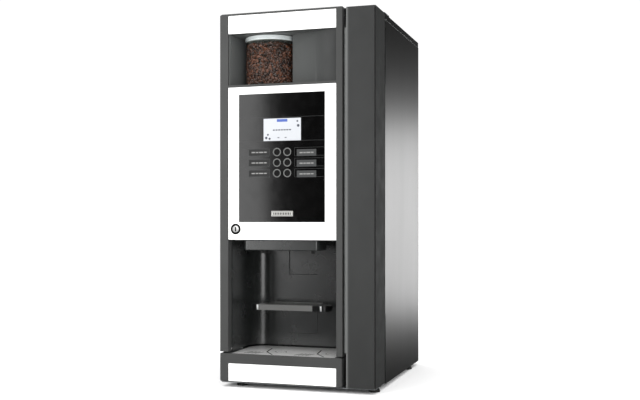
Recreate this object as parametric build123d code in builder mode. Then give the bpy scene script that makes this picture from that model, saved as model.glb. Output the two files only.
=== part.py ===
"""Table-top hot coffee vending machine, modelled as the separate pieces it comes apart into.

Frame: +Z up, the door faces -Y, the origin is on the floor under the middle of the machine.
All sizes are millimetres. Depths are given from the front face of the door, by at_depth().
"""

import math
import os

from build123d import *

# ---------------------------------------------------------------- overall sizes
WIDTH = 366.0
DEPTH = 462.0
HEIGHT = 850.0
FOOT_HEIGHT = 10.0
SHEET = 1.5
CLEAR = 0.3
EPS = 1.0  # how far a cutting tool runs past the face that it cuts

# ---------------------------------------------------------------- door and front frame
DOOR_DEPTH = 88.0
DOOR_GAP = 2.2
FRAME_THICK = 20.0
COLUMN_WIDTH = 66.0
COLUMN_GAP = 9.0
LEFT_STILE = 20.4
RIGHT_STILE = 14.0
TOP_RAIL = 4.2
SIGN_HEIGHT = 41.1
WINDOW_HEIGHT = 117.2
SILL_HEIGHT = 5.0
NICHE_HEIGHT = 255.6
NICHE_DEPTH = 155.0
NICHE_CORNER = 43.0
LINER_WALL = 2.0
PANEL_INSET = 0.8
PANEL_THICK = 3.2
FIT = 0.2  # clearance round a panel in its opening

# ---------------------------------------------------------------- base drawer
DRAWER_HEIGHT = 63.9
DRAWER_LIFT = 3.0
DRAWER_TO_DOOR = 3.7
DRAWER_WALL = 2.5
DRAWER_PANEL_LOW = 3.8
DRAWER_PANEL_HIGH = 44.4
GRILLE_THICK = 2.0
GRILLE_GAP = 3.6  # from the wall of the cup station, so that the grille lifts clear of it
TRAY_RIM = 5.9
GRILLE_FIGURES = (-34.7, 87.3)  # middles of the two cut figures, from the middle of the opening

# ---------------------------------------------------------------- controls
GLASS_SIDE = 26.0
GLASS_TOP = 17.0
GLASS_BOTTOM = 39.8
GLASS_INSET = 1.0
DISPLAY_WIDTH = 88.7
DISPLAY_HEIGHT = 50.1
DISPLAY_DROP = 56.8
BUTTON_RADIUS = 7.1
BUTTON_TRAVEL = 1.2
RING_RADIUS = 9.25
RING_BORE = 7.4
BUTTON_PITCH = 23.7
BUTTON_HALF = 12.3  # half the distance between the two columns
BUTTON_DROP = 132.2
LABEL_HEIGHT = 15.0
LABEL_RISES = (0.0, -2.5)  # of the left and right labels over their buttons
LOCK_RADIUS = 12.2
LOCK_BORE = 8.5
LOCK_SIDE = 18.1
LOCK_RISE = 24.1
CAM_REACH = 32.0

# ---------------------------------------------------------------- cup station
HEAD_HEIGHT = 22.0
HEAD_LEFT_GAP = 33.6
HEAD_RIGHT_GAP = 42.8
HEAD_FRONT = 8.0
HEAD_LENGTH = 67.0
SHELF_TOP = 105.4  # above the bottom edge of the door
SHELF_THICK = 13.0
SHELF_SIDE = 29.0
SHELF_FRONT = 52.0
SHELF_WING = 20.0
SHELF_REAR_CORNER = 12.0
SHELF_WAIST = 30.0  # each wing past the narrower body behind it
STRIP_WIDTH = 71.0
STRIP_LOW = 30.0
STRIP_HIGH = 169.4
GROOVE_SIDE, GROOVE_LOW, GROOVE_DEEP = 2.4, 1.4, 4.0
POCKET_GAP = 0.8  # round the bracket's plate in its pocket
PIVOT_BACK = 12.0
PIN_RADIUS = 2.5
RUNNING = 0.06

# ---------------------------------------------------------------- inside
CANISTER_RADIUS = 61.1
CANISTER_FRONT = 22.0
CANISTER_LENGTH = 215.0
CANISTER_SIDE = 33.3
CANISTER_HEIGHT = 109.0
CANISTER_WALL = 2.5
CANISTER_GAP = 2.5
BEAN_DEPTH = 97.0
LID_THICK = 6.0
REAR_BAY = 125.0
BOILER_RADIUS = 42.0
BOILER_HEIGHT = 210.0
HINGE_RADIUS = 3.5
HINGE_PIN = 2.0
PIN_LENGTH = 10.0
FLANGE_WIDTH = 13.0
SHELF_DROP = 90.0  # canister shelf below the window sill
SCREW_LEAD = 20.0

# ---------------------------------------------------------------- worked out from the above
LEFT, RIGHT = -WIDTH / 2, WIDTH / 2
FRONT, BACK = -DEPTH / 2, DEPTH / 2
BODY_LOW = FOOT_HEIGHT
FRAME_RIGHT = RIGHT - COLUMN_WIDTH - COLUMN_GAP
OPEN_LEFT, OPEN_RIGHT = LEFT + LEFT_STILE, FRAME_RIGHT - RIGHT_STILE
OPEN_MIDDLE = (OPEN_LEFT + OPEN_RIGHT) / 2
DRAWER_LOW = BODY_LOW + DRAWER_LIFT
DRAWER_TOP = DRAWER_LOW + DRAWER_HEIGHT
DOOR_LOW = DRAWER_TOP + DRAWER_TO_DOOR
NICHE_TOP = DOOR_LOW + NICHE_HEIGHT
SIGN_TOP = HEIGHT - TOP_RAIL
SIGN_LOW = SIGN_TOP - SIGN_HEIGHT
SILL_TOP = SIGN_LOW - WINDOW_HEIGHT
UI_TOP = SILL_TOP - SILL_HEIGHT
UI_LOW = NICHE_TOP
COLUMN_LEFT = FRAME_RIGHT + COLUMN_GAP
COLUMN_TOP = HEIGHT - 2.0
HINGE_X = RIGHT - HINGE_RADIUS
CABINET_TOP = HEIGHT - 2.3
COVER_SKIRT = 13.2
GLASS_LEFT, GLASS_RIGHT = OPEN_LEFT + GLASS_SIDE, OPEN_RIGHT - GLASS_SIDE
GLASS_LOW, GLASS_HIGH = UI_LOW + GLASS_BOTTOM, UI_TOP - GLASS_TOP
SHELF_HIGH = DOOR_LOW + SHELF_TOP
SHELF_PLATE = SILL_TOP - SHELF_DROP
PARTITION_X = FRAME_RIGHT
CANISTER_X = LEFT + CANISTER_SIDE + CANISTER_RADIUS
CANISTER_LOW = SILL_TOP + 1.0
CHASSIS_DEPTH = DOOR_DEPTH + 4.0
MACHINE_BACK = DEPTH - REAR_BAY


def at_depth(depth):
    """Y of a plane that lies this far behind the front face of the door."""
    return FRONT + depth


def slab(x, y, z, mode=Mode.ADD):
    """Adds a box that spans the three (low, high) ranges to the part being built."""
    with Locations(((x[0] + x[1]) / 2, (y[0] + y[1]) / 2, (z[0] + z[1]) / 2)):
        Box(x[1] - x[0], y[1] - y[0], z[1] - z[0], mode=mode)


def rod_y(x, z, radius, depths, mode=Mode.ADD):
    """Adds a round bar along Y between two depths."""
    middle = at_depth((depths[0] + depths[1]) / 2)
    with Locations(Location((x, middle, z), (90, 0, 0))):
        Cylinder(radius, abs(depths[1] - depths[0]), mode=mode)


def rod_z(x, depth, radius, z, mode=Mode.ADD):
    """Adds an upright round bar between two heights."""
    with Locations((x, at_depth(depth), (z[0] + z[1]) / 2)):
        Cylinder(radius, z[1] - z[0], mode=mode)


def rod_x(depth, z, radius, x, mode=Mode.ADD):
    """Adds a round bar along X between two X values."""
    with Locations(Location(((x[0] + x[1]) / 2, at_depth(depth), z), (0, 90, 0))):
        Cylinder(radius, x[1] - x[0], mode=mode)


def niche_outline(grow, front_depth):
    """Returns the round-backed plan of the cup station, grown outwards by a wall thickness."""
    x0, x1 = OPEN_LEFT + LINER_WALL - grow, OPEN_RIGHT - LINER_WALL + grow
    y0, y1 = at_depth(front_depth), at_depth(NICHE_DEPTH) + grow
    radius = NICHE_CORNER + grow
    with BuildSketch(mode=Mode.PRIVATE) as plan:
        with BuildLine():
            Line((x0, y0), (x0, y1 - radius))
            RadiusArc((x0, y1 - radius), (x0 + radius, y1), radius)
            Line((x0 + radius, y1), (x1 - radius, y1))
            RadiusArc((x1 - radius, y1), (x1, y1 - radius), radius)
            Line((x1, y1 - radius), (x1, y0))
            Line((x1, y0), (x0, y0))
        make_face()
    return plan.sketch


def canister_outline(shrink):
    """Returns the plan of the bean canister: a half round nose and a straight body."""
    radius = CANISTER_RADIUS - shrink
    nose = at_depth(CANISTER_FRONT + CANISTER_RADIUS)
    tail = at_depth(CANISTER_FRONT + CANISTER_LENGTH) - shrink
    x0, x1 = CANISTER_X - radius, CANISTER_X + radius
    with BuildSketch(mode=Mode.PRIVATE) as plan:
        with BuildLine():
            ThreePointArc((x0, nose), (CANISTER_X, nose - radius), (x1, nose))
            Line((x1, nose), (x1, tail))
            Line((x1, tail), (x0, tail))
            Line((x0, tail), (x0, nose))
        make_face()
    return plan.sketch


# ================================================================ cabinet
def base_pan():
    """Folded floor of the cabinet, which also carries the feet and runs under the drawer."""
    inner = (LEFT + SHEET + CLEAR, RIGHT - SHEET - CLEAR)
    flange = at_depth(CHASSIS_DEPTH + 4)
    with BuildPart() as pan:
        slab(inner, (at_depth(6), BACK - SHEET - CLEAR), (BODY_LOW, BODY_LOW + SHEET))
        for x in ((inner[0], inner[0] + SHEET), (inner[1] - SHEET, inner[1])):
            slab(x, (flange, BACK - SHEET - CLEAR), (BODY_LOW, BODY_LOW + PAN_RIM))
        slab(inner, (BACK - 2 * SHEET - CLEAR, BACK - SHEET - CLEAR), (BODY_LOW, BODY_LOW + PAN_RIM))
        for x, depth in FOOT_PLACES:
            rod_z(x, depth, STUD_RADIUS + 0.1, (BODY_LOW - EPS, BODY_LOW + SHEET + EPS), Mode.SUBTRACT)
    return pan.part


PAN_RIM = 22.0
STUD_RADIUS = 4.0
PAD_RADIUS = 12.5
PAD_HEIGHT = 6.5
NUT_RADIUS = 7.0
FOOT_PLACES = (
    (LEFT + 40.0, 38.0),
    (RIGHT - 13.5, 44.0),
    (LEFT + 22.0, DEPTH - 82.0),
    (RIGHT - 13.5, DEPTH - 82.0),
)


def screwed_foot(x, depth):
    """Rubber pad of one foot, with the nut and the short stud that hold it in the base pan."""
    with BuildPart() as foot:
        rod_z(x, depth, PAD_RADIUS, (0, PAD_HEIGHT))
        chamfer(foot.faces().sort_by(Axis.Z)[-1].edges(), 1.5)
        fillet(foot.faces().sort_by(Axis.Z)[0].edges(), 0.8)
        with BuildSketch(Plane.XY.offset(PAD_HEIGHT)):
            with Locations((x, at_depth(depth))):
                RegularPolygon(NUT_RADIUS, 6)
        extrude(amount=FOOT_HEIGHT - PAD_HEIGHT - 0.1)
        rod_z(x, depth, STUD_RADIUS, (PAD_HEIGHT, BODY_LOW + SHEET + 1))
    return foot.part


def side_panel(sign):
    """Sheet side of the cabinet with its front and rear returns; sign is -1 for the left."""
    outer = sign * WIDTH / 2
    skin = sorted((outer, outer - sign * SHEET))
    lip = sorted((outer, outer - sign * FLANGE_WIDTH))
    low, high = BODY_LOW, CABINET_TOP - COVER_SKIRT - CLEAR
    first = at_depth(DOOR_DEPTH + DOOR_GAP)
    with BuildPart() as panel:
        slab(skin, (first, BACK), (low, high))
        slab(lip, (BACK - SHEET, BACK), (low, high))
        for z in HINGE_ZONES:
            # the edge steps back beside each hinge zone, so that the door edge can turn past it
            slab(skin, (first - EPS, first + EDGE_STEP), z, Mode.SUBTRACT)
    return panel.part


EDGE_STEP = 3.0
RETURN_WIDTH = 20.0
HINGE_ZONES = ((BODY_LOW - EPS, 170.0), (HEIGHT - 163.0, HEIGHT))
POCKET_LEFT, POCKET_RIGHT = LEFT + 40.0, LEFT + 190.0
POCKET_LOW, POCKET_HIGH = BODY_LOW + 26.0, BODY_LOW + 96.0
POCKET_DEPTH = 26.0
INLET_X, INLET_Z = POCKET_LEFT + 38.0, POCKET_LOW + 35.0
MAINS_X = POCKET_RIGHT - 38.0
INLET_RADIUS = 13.2
MAINS_WIDTH, MAINS_HEIGHT = 27.0, 19.5
LOUVRE_COUNT = 9


def back_panel():
    """Rear sheet with louvre slots and a sunk pocket for the water and mains inlets."""
    x = (LEFT + FLANGE_WIDTH + CLEAR, RIGHT - FLANGE_WIDTH - CLEAR)
    skin = (BACK - SHEET, BACK)
    sunk = BACK - POCKET_DEPTH
    with BuildPart() as panel:
        slab(x, skin, (BODY_LOW + 2, CABINET_TOP - COVER_SKIRT - CLEAR))
        slab((POCKET_LEFT, POCKET_RIGHT), (sunk, BACK), (POCKET_LOW, POCKET_HIGH))
        slab(
            (POCKET_LEFT + SHEET, POCKET_RIGHT - SHEET),
            (sunk + SHEET, BACK + EPS),
            (POCKET_LOW + SHEET, POCKET_HIGH - SHEET),
            Mode.SUBTRACT,
        )
        rod_y(INLET_X, INLET_Z, 9.2, (DEPTH - POCKET_DEPTH - EPS, DEPTH), Mode.SUBTRACT)
        slab(
            (MAINS_X - MAINS_WIDTH / 2 - FIT, MAINS_X + MAINS_WIDTH / 2 + FIT),
            (sunk - EPS, sunk + SHEET + EPS),
            (INLET_Z - MAINS_HEIGHT / 2 - FIT, INLET_Z + MAINS_HEIGHT / 2 + FIT),
            Mode.SUBTRACT,
        )
        with BuildSketch(Plane.XZ.offset(-BACK - EPS)):
            for centre in (LEFT + 105, RIGHT - 105):
                with Locations((centre, CABINET_TOP - 130)):
                    with GridLocations(0, 11, 1, LOUVRE_COUNT):
                        SlotOverall(110, 4)
        extrude(amount=SHEET + 2 * EPS, mode=Mode.SUBTRACT)
    return panel.part


def water_inlet():
    """Brass inlet valve: threaded stub in the pocket, flange and valve body behind it."""
    face = DEPTH - POCKET_DEPTH
    with BuildPart() as inlet:
        rod_y(INLET_X, INLET_Z, 9.0, (face - 6, face + SHEET + 2))
        rod_y(INLET_X, INLET_Z, INLET_RADIUS, (face + SHEET + 2, face + SHEET + 18))
        chamfer(inlet.faces().sort_by(Axis.Y)[-1].edges(), 1)
        rod_y(INLET_X, INLET_Z, 8.0, (face, DEPTH), Mode.SUBTRACT)
        slab(
            (INLET_X - 16, INLET_X + 16),
            (at_depth(face - 36), at_depth(face - 4)),
            (INLET_Z - 16, INLET_Z + 22),
        )
    return inlet.part


def mains_inlet():
    """Three-pin mains socket, sunk in the pocket."""
    face = at_depth(DEPTH - POCKET_DEPTH)
    wide, high = MAINS_WIDTH / 2, MAINS_HEIGHT / 2
    wall, flange = 2.0, (8.0, 3.0)
    with BuildPart() as socket:
        for grow, y, mode in (
            ((0, 0), (face - 20, face + SHEET + 1), Mode.ADD),
            (flange, (face - 3, face), Mode.ADD),
            ((-wall, -wall), (face - 14, face + SHEET + 2), Mode.SUBTRACT),
        ):
            x, z = wide + grow[0], high + grow[1]
            slab((MAINS_X - x, MAINS_X + x), y, (INLET_Z - z, INLET_Z + z), mode)
        for x, z in ((-7, -2), (7, -2), (0, 3)):
            pin_x, pin_z = MAINS_X + x, INLET_Z + z
            slab((pin_x - 1, pin_x + 1), (face - 14, face - 1), (pin_z - 2, pin_z + 2))
    return socket.part


def top_cover():
    """Lid of the cabinet, a folded tray turned upside down."""
    y = (at_depth(DOOR_DEPTH + DOOR_GAP), BACK)
    with BuildPart() as cover:
        slab((LEFT, RIGHT), y, (CABINET_TOP - COVER_SKIRT, CABINET_TOP))
        edges = cover.edges().filter_by(Axis.Z).group_by(Axis.Y)[-1]
        fillet(edges, 4)
        fillet(cover.faces().sort_by(Axis.Z)[-1].edges(), 1)
        slab(
            (LEFT + SHEET, RIGHT - SHEET),
            (y[0] + SHEET, y[1] - SHEET),
            (CABINET_TOP - COVER_SKIRT - EPS, CABINET_TOP - SHEET),
            Mode.SUBTRACT,
        )
    return cover.part


def chassis_frame():
    """Galvanised frame behind the door, with its opening, and the strike for the lock."""
    y = (at_depth(CHASSIS_DEPTH), at_depth(CHASSIS_DEPTH) + SHEET)
    inner = (LEFT + SHEET + CLEAR, RIGHT - SHEET - CLEAR)
    high = CABINET_TOP - COVER_SKIRT - CLEAR
    with BuildPart() as frame:
        slab(inner, y, (BODY_LOW + SHEET + CLEAR, high))
        slab(
            (inner[0] + FLANGE_WIDTH, PARTITION_X - CLEAR),
            (y[0] - EPS, y[1] + EPS),
            (DRAWER_TOP + 2, high - 14),
            Mode.SUBTRACT,
        )
        slab(
            (OPEN_LEFT - 2, OPEN_RIGHT + 2),
            (y[0] - EPS, y[1] + EPS),
            (BODY_LOW + SHEET, DRAWER_TOP + 3),
            Mode.SUBTRACT,
        )
        slab(
            (PARTITION_X + 12, inner[1] - 10),
            (y[0] - EPS, y[1] + EPS),
            (NICHE_TOP, high - 30),
            Mode.SUBTRACT,
        )
        bottom, behind = BODY_LOW + PAN_RIM + 2, (y[0], y[1] + RETURN_WIDTH)
        slab((inner[1] - SHEET, inner[1]), behind, (bottom, high))
        # the left return stops below and above the lock's cam
        for z in ((bottom, LOCK_Z - CAM_REACH), (LOCK_Z + CAM_REACH, high)):
            slab((inner[0], inner[0] + SHEET), behind, z)
        slab(inner, behind, (high - SHEET, high))
    return frame.part


def inner_chassis():
    """Partition beside the electronics bay, with the shelf that the canisters stand on."""
    front = at_depth(CHASSIS_DEPTH) + SHEET + CLEAR
    left = LEFT + 2 * SHEET + 2 * CLEAR
    rear = BACK - 2 * SHEET - 2 * CLEAR
    with BuildPart() as chassis:
        slab(
            (PARTITION_X, PARTITION_X + SHEET),
            (front, rear),
            (BODY_LOW + SHEET, CABINET_TOP - COVER_SKIRT - 4),
        )
        slab(
            (left, PARTITION_X),
            (at_depth(CANISTER_FRONT + 90), at_depth(MACHINE_BACK + 40)),
            (SHELF_PLATE - SHEET, SHELF_PLATE),
        )
        slab(
            (left, PARTITION_X),
            (at_depth(MACHINE_BACK), at_depth(MACHINE_BACK) + SHEET),
            (BODY_LOW + SHEET, SHELF_PLATE),
        )
        hole = (SHELF_PLATE - 4, SHELF_PLATE + 4)
        rod_z(CANISTER_X, GRINDER_DEPTH, GRINDER_RADIUS + 1, hole, Mode.SUBTRACT)
        slab(
            (CANISTER_X - CHUTE_HALF - 1, CANISTER_X + CHUTE_HALF + 1),
            (at_depth(CANISTER_FRONT + 80), at_depth(GRINDER_DEPTH)),
            hole,
            Mode.SUBTRACT,
        )
        slab(
            (MIXER_LEFT - 24, PARTITION_X - 4),
            (at_depth(CANISTER_FRONT + 80), at_depth(MIXER_DEPTH + 26)),
            hole,
            Mode.SUBTRACT,
        )
    return chassis.part


GRINDER_DEPTH = CHASSIS_DEPTH + 73.0
GRINDER_RADIUS = 44.0
CHUTE_HALF = 14.0
MIXER_DEPTH = CHASSIS_DEPTH + 30.0
POWDER_GAP = 4.0
POWDER_LEFT = CANISTER_X + CANISTER_RADIUS + 9.0
POWDER_WIDTH = (PARTITION_X - POWDER_LEFT - 2 * POWDER_GAP) / 2
MIXER_LEFT = POWDER_LEFT + POWDER_WIDTH / 2
MIXER_PITCH = POWDER_WIDTH + POWDER_GAP


def hinge_brackets():
    """Upper hinge plate with its pin, and the lower pin that stands on the base pan."""
    plate_low = COLUMN_TOP + CLEAR
    axis = DOOR_DEPTH - 2.0
    plate = (at_depth(DOOR_DEPTH + DOOR_GAP + 2), at_depth(axis + 44))
    with BuildPart() as brackets:
        rod_z(HINGE_X, axis, HINGE_RADIUS, (plate_low, HEIGHT))
        slab((HINGE_X - HINGE_RADIUS, RIGHT), (at_depth(axis), at_depth(axis + 10)), (plate_low, HEIGHT))
        slab((HINGE_X - 24, RIGHT), plate, (CABINET_TOP, HEIGHT))
        rod_z(HINGE_X, axis, HINGE_PIN, (plate_low - PIN_LENGTH, plate_low))
        rod_z(HINGE_X, axis, HINGE_RADIUS, (BODY_LOW + SHEET, DRAWER_LOW - CLEAR))
        rod_z(HINGE_X, axis, HINGE_PIN, (BODY_LOW + SHEET, DRAWER_LOW + PIN_LENGTH))
    return brackets.part


# ================================================================ door
def front_frame():
    """Moulded portal that frames the sign, the bean window, the controls and the cup station."""
    with BuildPart() as frame:
        with BuildSketch(Plane.XZ.offset(-FRONT)):
            with BuildLine():
                Polyline(
                    (LEFT, DOOR_LOW),
                    (LEFT, HEIGHT - 3),
                    (LEFT + 5, HEIGHT),
                    (FRAME_RIGHT, HEIGHT),
                    (FRAME_RIGHT, DOOR_LOW),
                    close=True,
                )
            make_face()
            openings = (
                (DOOR_LOW - EPS, UI_LOW),
                (UI_LOW, UI_TOP),
                (SILL_TOP, SIGN_LOW),
                (SIGN_LOW, SIGN_TOP),
            )
            for z in openings:
                with Locations((OPEN_MIDDLE, (z[0] + z[1]) / 2)):
                    Rectangle(OPEN_RIGHT - OPEN_LEFT, z[1] - z[0], mode=Mode.SUBTRACT)
        extrude(amount=-FRAME_THICK)
        outline = frame.faces().sort_by(Axis.Y)[0].outer_wire().edges()
        fillet(outline.filter_by(Axis.Z).filter_by(lambda e: e.length > NICHE_HEIGHT * 2), 1.2)
        # ledges that the two white panels are clipped to
        behind = (at_depth(PANEL_INSET + PANEL_THICK + FIT), at_depth(FRAME_THICK))
        ledges = (
            (UI_LOW, UI_LOW + 4),
            (UI_TOP - 3, UI_TOP),
            (SIGN_LOW, SIGN_LOW + 2),
            (SIGN_TOP - 2, SIGN_TOP),
        )
        for z in ledges:
            slab((OPEN_LEFT, OPEN_RIGHT), behind, z)
    return frame.part


def door_shell():
    """Folded sheet tray behind the front frame: left side, top, bottom and the rear wall."""
    left = (LEFT, LEFT + LINER_WALL)
    rear = (at_depth(DOOR_DEPTH) - SHEET, at_depth(DOOR_DEPTH))
    start = at_depth(FRAME_THICK)
    with BuildPart() as shell:
        slab(left, (start, rear[1]), (DOOR_LOW, HEIGHT - 2))
        slab((LEFT, COLUMN_LEFT - 5), (start, rear[1]), (HEIGHT - LINER_WALL, HEIGHT))
        slab((left[0], HINGE_X - 7), rear, (DOOR_LOW, HEIGHT - LINER_WALL))
        slab((COLUMN_LEFT + 2, HINGE_X - 7), rear, (DRAWER_LOW + 4, DOOR_LOW))
        # rear wall openings: bean canister, cup station, lock shaft
        slab(
            (CANISTER_X - CANISTER_RADIUS - 7, CANISTER_X + CANISTER_RADIUS + 7),
            (rear[0] - EPS, rear[1] + EPS),
            (UI_TOP, SIGN_LOW + 4),
            Mode.SUBTRACT,
        )
        slab(
            (OPEN_LEFT - CLEAR, OPEN_RIGHT + CLEAR),
            (rear[0] - EPS, rear[1] + EPS),
            (DOOR_LOW - EPS, NICHE_TOP + CLEAR),
            Mode.SUBTRACT,
        )
        rod_y(LOCK_X, LOCK_Z, 8, (DOOR_DEPTH - 4, DOOR_DEPTH + 2), Mode.SUBTRACT)
    return shell.part


LOCK_X, LOCK_Z = OPEN_LEFT + LOCK_SIDE, UI_LOW + LOCK_RISE
COLUMN_WALL = 3.0
BEAD_RADIUS = 8.0
BEAD_OUT = 6.0
REBATE = 3.0


def column_cover():
    """Moulded cover of the right-hand column, with its side band and the round hinge edge."""
    bottom = DRAWER_LOW
    full = (bottom, COLUMN_TOP)
    first = FRONT + 0.5
    bead_low, bead_high = DOOR_LOW + 7.4, SIGN_LOW
    with BuildPart() as cover:
        slab((COLUMN_LEFT, RIGHT - REBATE), (first, first + COLUMN_WALL), full)
        slab((RIGHT - COLUMN_WALL, RIGHT), (first + REBATE, at_depth(DOOR_DEPTH - 2)), full)
        slab((RIGHT - REBATE - 3, RIGHT - REBATE + 0.5), (first, at_depth(9)), full)
        slab((RIGHT - REBATE - 3, RIGHT), (first + REBATE, at_depth(6.5)), full)
        for z in ((bottom, bottom + COLUMN_WALL), (COLUMN_TOP - COLUMN_WALL, COLUMN_TOP)):
            slab((COLUMN_LEFT, RIGHT - 0.5), (FRONT + 1, at_depth(DOOR_DEPTH - 12)), z)
        slab((COLUMN_LEFT, COLUMN_LEFT + COLUMN_WALL), (first, at_depth(DOOR_DEPTH - SHEET - CLEAR)), full)
        # rounded edge beside the front frame, between the two hinge-side notches
        with BuildSketch(Plane.XY.offset(bead_low)):
            x0, y0 = COLUMN_LEFT - BEAD_OUT, first
            x1 = COLUMN_LEFT + COLUMN_WALL + 3
            with BuildLine():
                RadiusArc((x0, y0 + BEAD_RADIUS), (x0 + BEAD_RADIUS, y0), BEAD_RADIUS)
                Line((x0 + BEAD_RADIUS, y0), (x0 + BEAD_RADIUS, y0 + 30))
                Line((x0 + BEAD_RADIUS, y0 + 30), (x0, y0 + 30))
                Line((x0, y0 + 30), (x0, y0 + BEAD_RADIUS))
            make_face()
        extrude(amount=bead_high - bead_low)
        with BuildSketch(Plane.XY.offset(bead_low - EPS)):
            with BuildLine():
                RadiusArc((x0 + 2, y0 + BEAD_RADIUS), (x0 + BEAD_RADIUS, y0 + 2), BEAD_RADIUS - 2)
                Line((x0 + BEAD_RADIUS, y0 + 2), (x1, y0 + 2))
                Line((x1, y0 + 2), (x1, y0 + 28))
                Line((x1, y0 + 28), (x0 + 2, y0 + 28))
                Line((x0 + 2, y0 + 28), (x0 + 2, y0 + BEAD_RADIUS))
            make_face()
        extrude(amount=bead_high - bead_low + 2 * EPS, mode=Mode.SUBTRACT)
        # hinge edge, bored at both ends for the pins
        rod_z(HINGE_X, DOOR_DEPTH - 2, HINGE_RADIUS, (bottom, COLUMN_TOP))
        for z in ((bottom - EPS, bottom + 12), (COLUMN_TOP - 12, COLUMN_TOP + EPS)):
            rod_z(HINGE_X, DOOR_DEPTH - 2, HINGE_PIN + RUNNING, z, Mode.SUBTRACT)
    return cover.part


def sign_panel():
    """Opal light panel at the top of the door, a shallow tray."""
    x = (OPEN_LEFT + FIT, OPEN_RIGHT - FIT)
    z = (SIGN_LOW + FIT, SIGN_TOP - FIT)
    with BuildPart() as panel:
        slab(x, (at_depth(PANEL_INSET), at_depth(PANEL_INSET + PANEL_THICK)), z)
        fillet(panel.faces().sort_by(Axis.Y)[0].edges(), 0.5)
        deep = (at_depth(PANEL_INSET + 2), at_depth(FRAME_THICK - 2))
        slab((x[0] + 5, x[1] - 5), deep, (z[0] + 4, z[1] - 4))
        slab(
            (x[0] + 7, x[1] - 7),
            (at_depth(PANEL_INSET + 2.2), at_depth(FRAME_THICK)),
            (z[0] + 6, z[1] - 6),
            Mode.SUBTRACT,
        )
    return panel.part


def right_liner_curve(inset):
    """Plan curve of the right wall of the bean window, from the frame back to the canister."""
    near, edge = CANISTER_X + CANISTER_RADIUS + CANISTER_GAP, OPEN_RIGHT - 1
    y0, y1 = at_depth(5) + inset, at_depth(52) + inset
    middle = (near + 0.45 * (edge - near), y0 + 20)
    return Spline((edge, y0), middle, (near, y1), tangents=((-1, 0.12), (-1, 0.75)))


def left_liner_curve(inset):
    """Plan curve of the left wall of the bean window, which runs back beside the canister."""
    near = CANISTER_X - CANISTER_RADIUS - CANISTER_GAP - inset
    edge = OPEN_LEFT + LINER_WALL + FIT - inset
    y0, y1 = at_depth(5), at_depth(CANISTER_FRONT + CANISTER_RADIUS)
    middle = (edge + 0.35 * (near - edge), (y0 + y1) / 2)
    return Spline((edge, y0), middle, (near, y1), tangents=((0.05, 1), (0.2, 1)))


def window_liner():
    """Dark scoop round the bean canister: two curved walls, a ceiling and a floor."""
    low, high = SILL_TOP, SIGN_LOW
    behind = (at_depth(FRAME_THICK + CLEAR), at_depth(DOOR_DEPTH - SHEET - CLEAR))
    with BuildPart() as liner:
        for curve, thick in ((left_liner_curve, LINER_WALL), (right_liner_curve, LINER_WALL + 0.6)):
            with BuildSketch(Plane.XY.offset(low + FIT)):
                with BuildLine():
                    first, second = curve(0), curve(thick)
                    Line(first @ 0, second @ 0)
                    Line(first @ 1, second @ 1)
                make_face()
            extrude(amount=high - low - 2 * FIT)
        for z in ((low - LINER_WALL, low + FIT + 0.1), (high - FIT - 0.1, high + LINER_WALL)):
            slab((OPEN_LEFT + FIT, OPEN_RIGHT - FIT), behind, z)
    return liner.part


def ui_surround():
    """White frame round the control glass, with the hole for the lock."""
    with BuildPart() as surround:
        slab(
            (OPEN_LEFT + FIT, OPEN_RIGHT - FIT),
            (at_depth(PANEL_INSET), at_depth(PANEL_INSET + PANEL_THICK)),
            (UI_LOW + FIT, UI_TOP - FIT),
        )
        fillet(surround.faces().sort_by(Axis.Y)[0].edges(), 0.5)
        slab(
            (GLASS_LEFT - FIT, GLASS_RIGHT + FIT),
            (FRONT - EPS, at_depth(10)),
            (GLASS_LOW - FIT, GLASS_HIGH + FIT),
            Mode.SUBTRACT,
        )
        rod_y(LOCK_X, LOCK_Z, LOCK_RADIUS - 1.5, (-EPS, 10), Mode.SUBTRACT)
    return surround.part


GLASS_MIDDLE = (GLASS_LEFT + GLASS_RIGHT) / 2
DISPLAY_X = GLASS_MIDDLE + 1.9
DISPLAY_Z = GLASS_HIGH - DISPLAY_DROP - DISPLAY_HEIGHT / 2
BUTTON_COLUMNS = (DISPLAY_X - BUTTON_HALF, DISPLAY_X + BUTTON_HALF)
BUTTON_ROWS = tuple(GLASS_HIGH - BUTTON_DROP - row * BUTTON_PITCH for row in range(3))
BUTTON_PLACES = tuple((x, z) for z in BUTTON_ROWS for x in BUTTON_COLUMNS)
LABEL_SPANS = (
    (GLASS_LEFT + 24.0, BUTTON_COLUMNS[0] - 17.3),
    (BUTTON_COLUMNS[1] + 22.7, GLASS_RIGHT - 20.0),
)
BADGE_WIDTH, BADGE_HEIGHT = 51.0, 11.8
BADGE_RISE = 13.2
GLASS_THICK = 3.0


def ui_glass():
    """Black control glass with its display window and the six button holes."""
    y = (at_depth(GLASS_INSET), at_depth(GLASS_INSET + GLASS_THICK))
    with BuildPart() as glass:
        slab((GLASS_LEFT, GLASS_RIGHT), y, (GLASS_LOW, GLASS_HIGH))
        slab(
            (DISPLAY_X - DISPLAY_WIDTH / 2 - FIT, DISPLAY_X + DISPLAY_WIDTH / 2 + FIT),
            (FRONT - EPS, at_depth(10)),
            (DISPLAY_Z - DISPLAY_HEIGHT / 2 - FIT, DISPLAY_Z + DISPLAY_HEIGHT / 2 + FIT),
            Mode.SUBTRACT,
        )
        for x, z in BUTTON_PLACES:
            rod_y(x, z, RING_RADIUS + 0.05, (-EPS, 10), Mode.SUBTRACT)
    return glass.part


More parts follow.
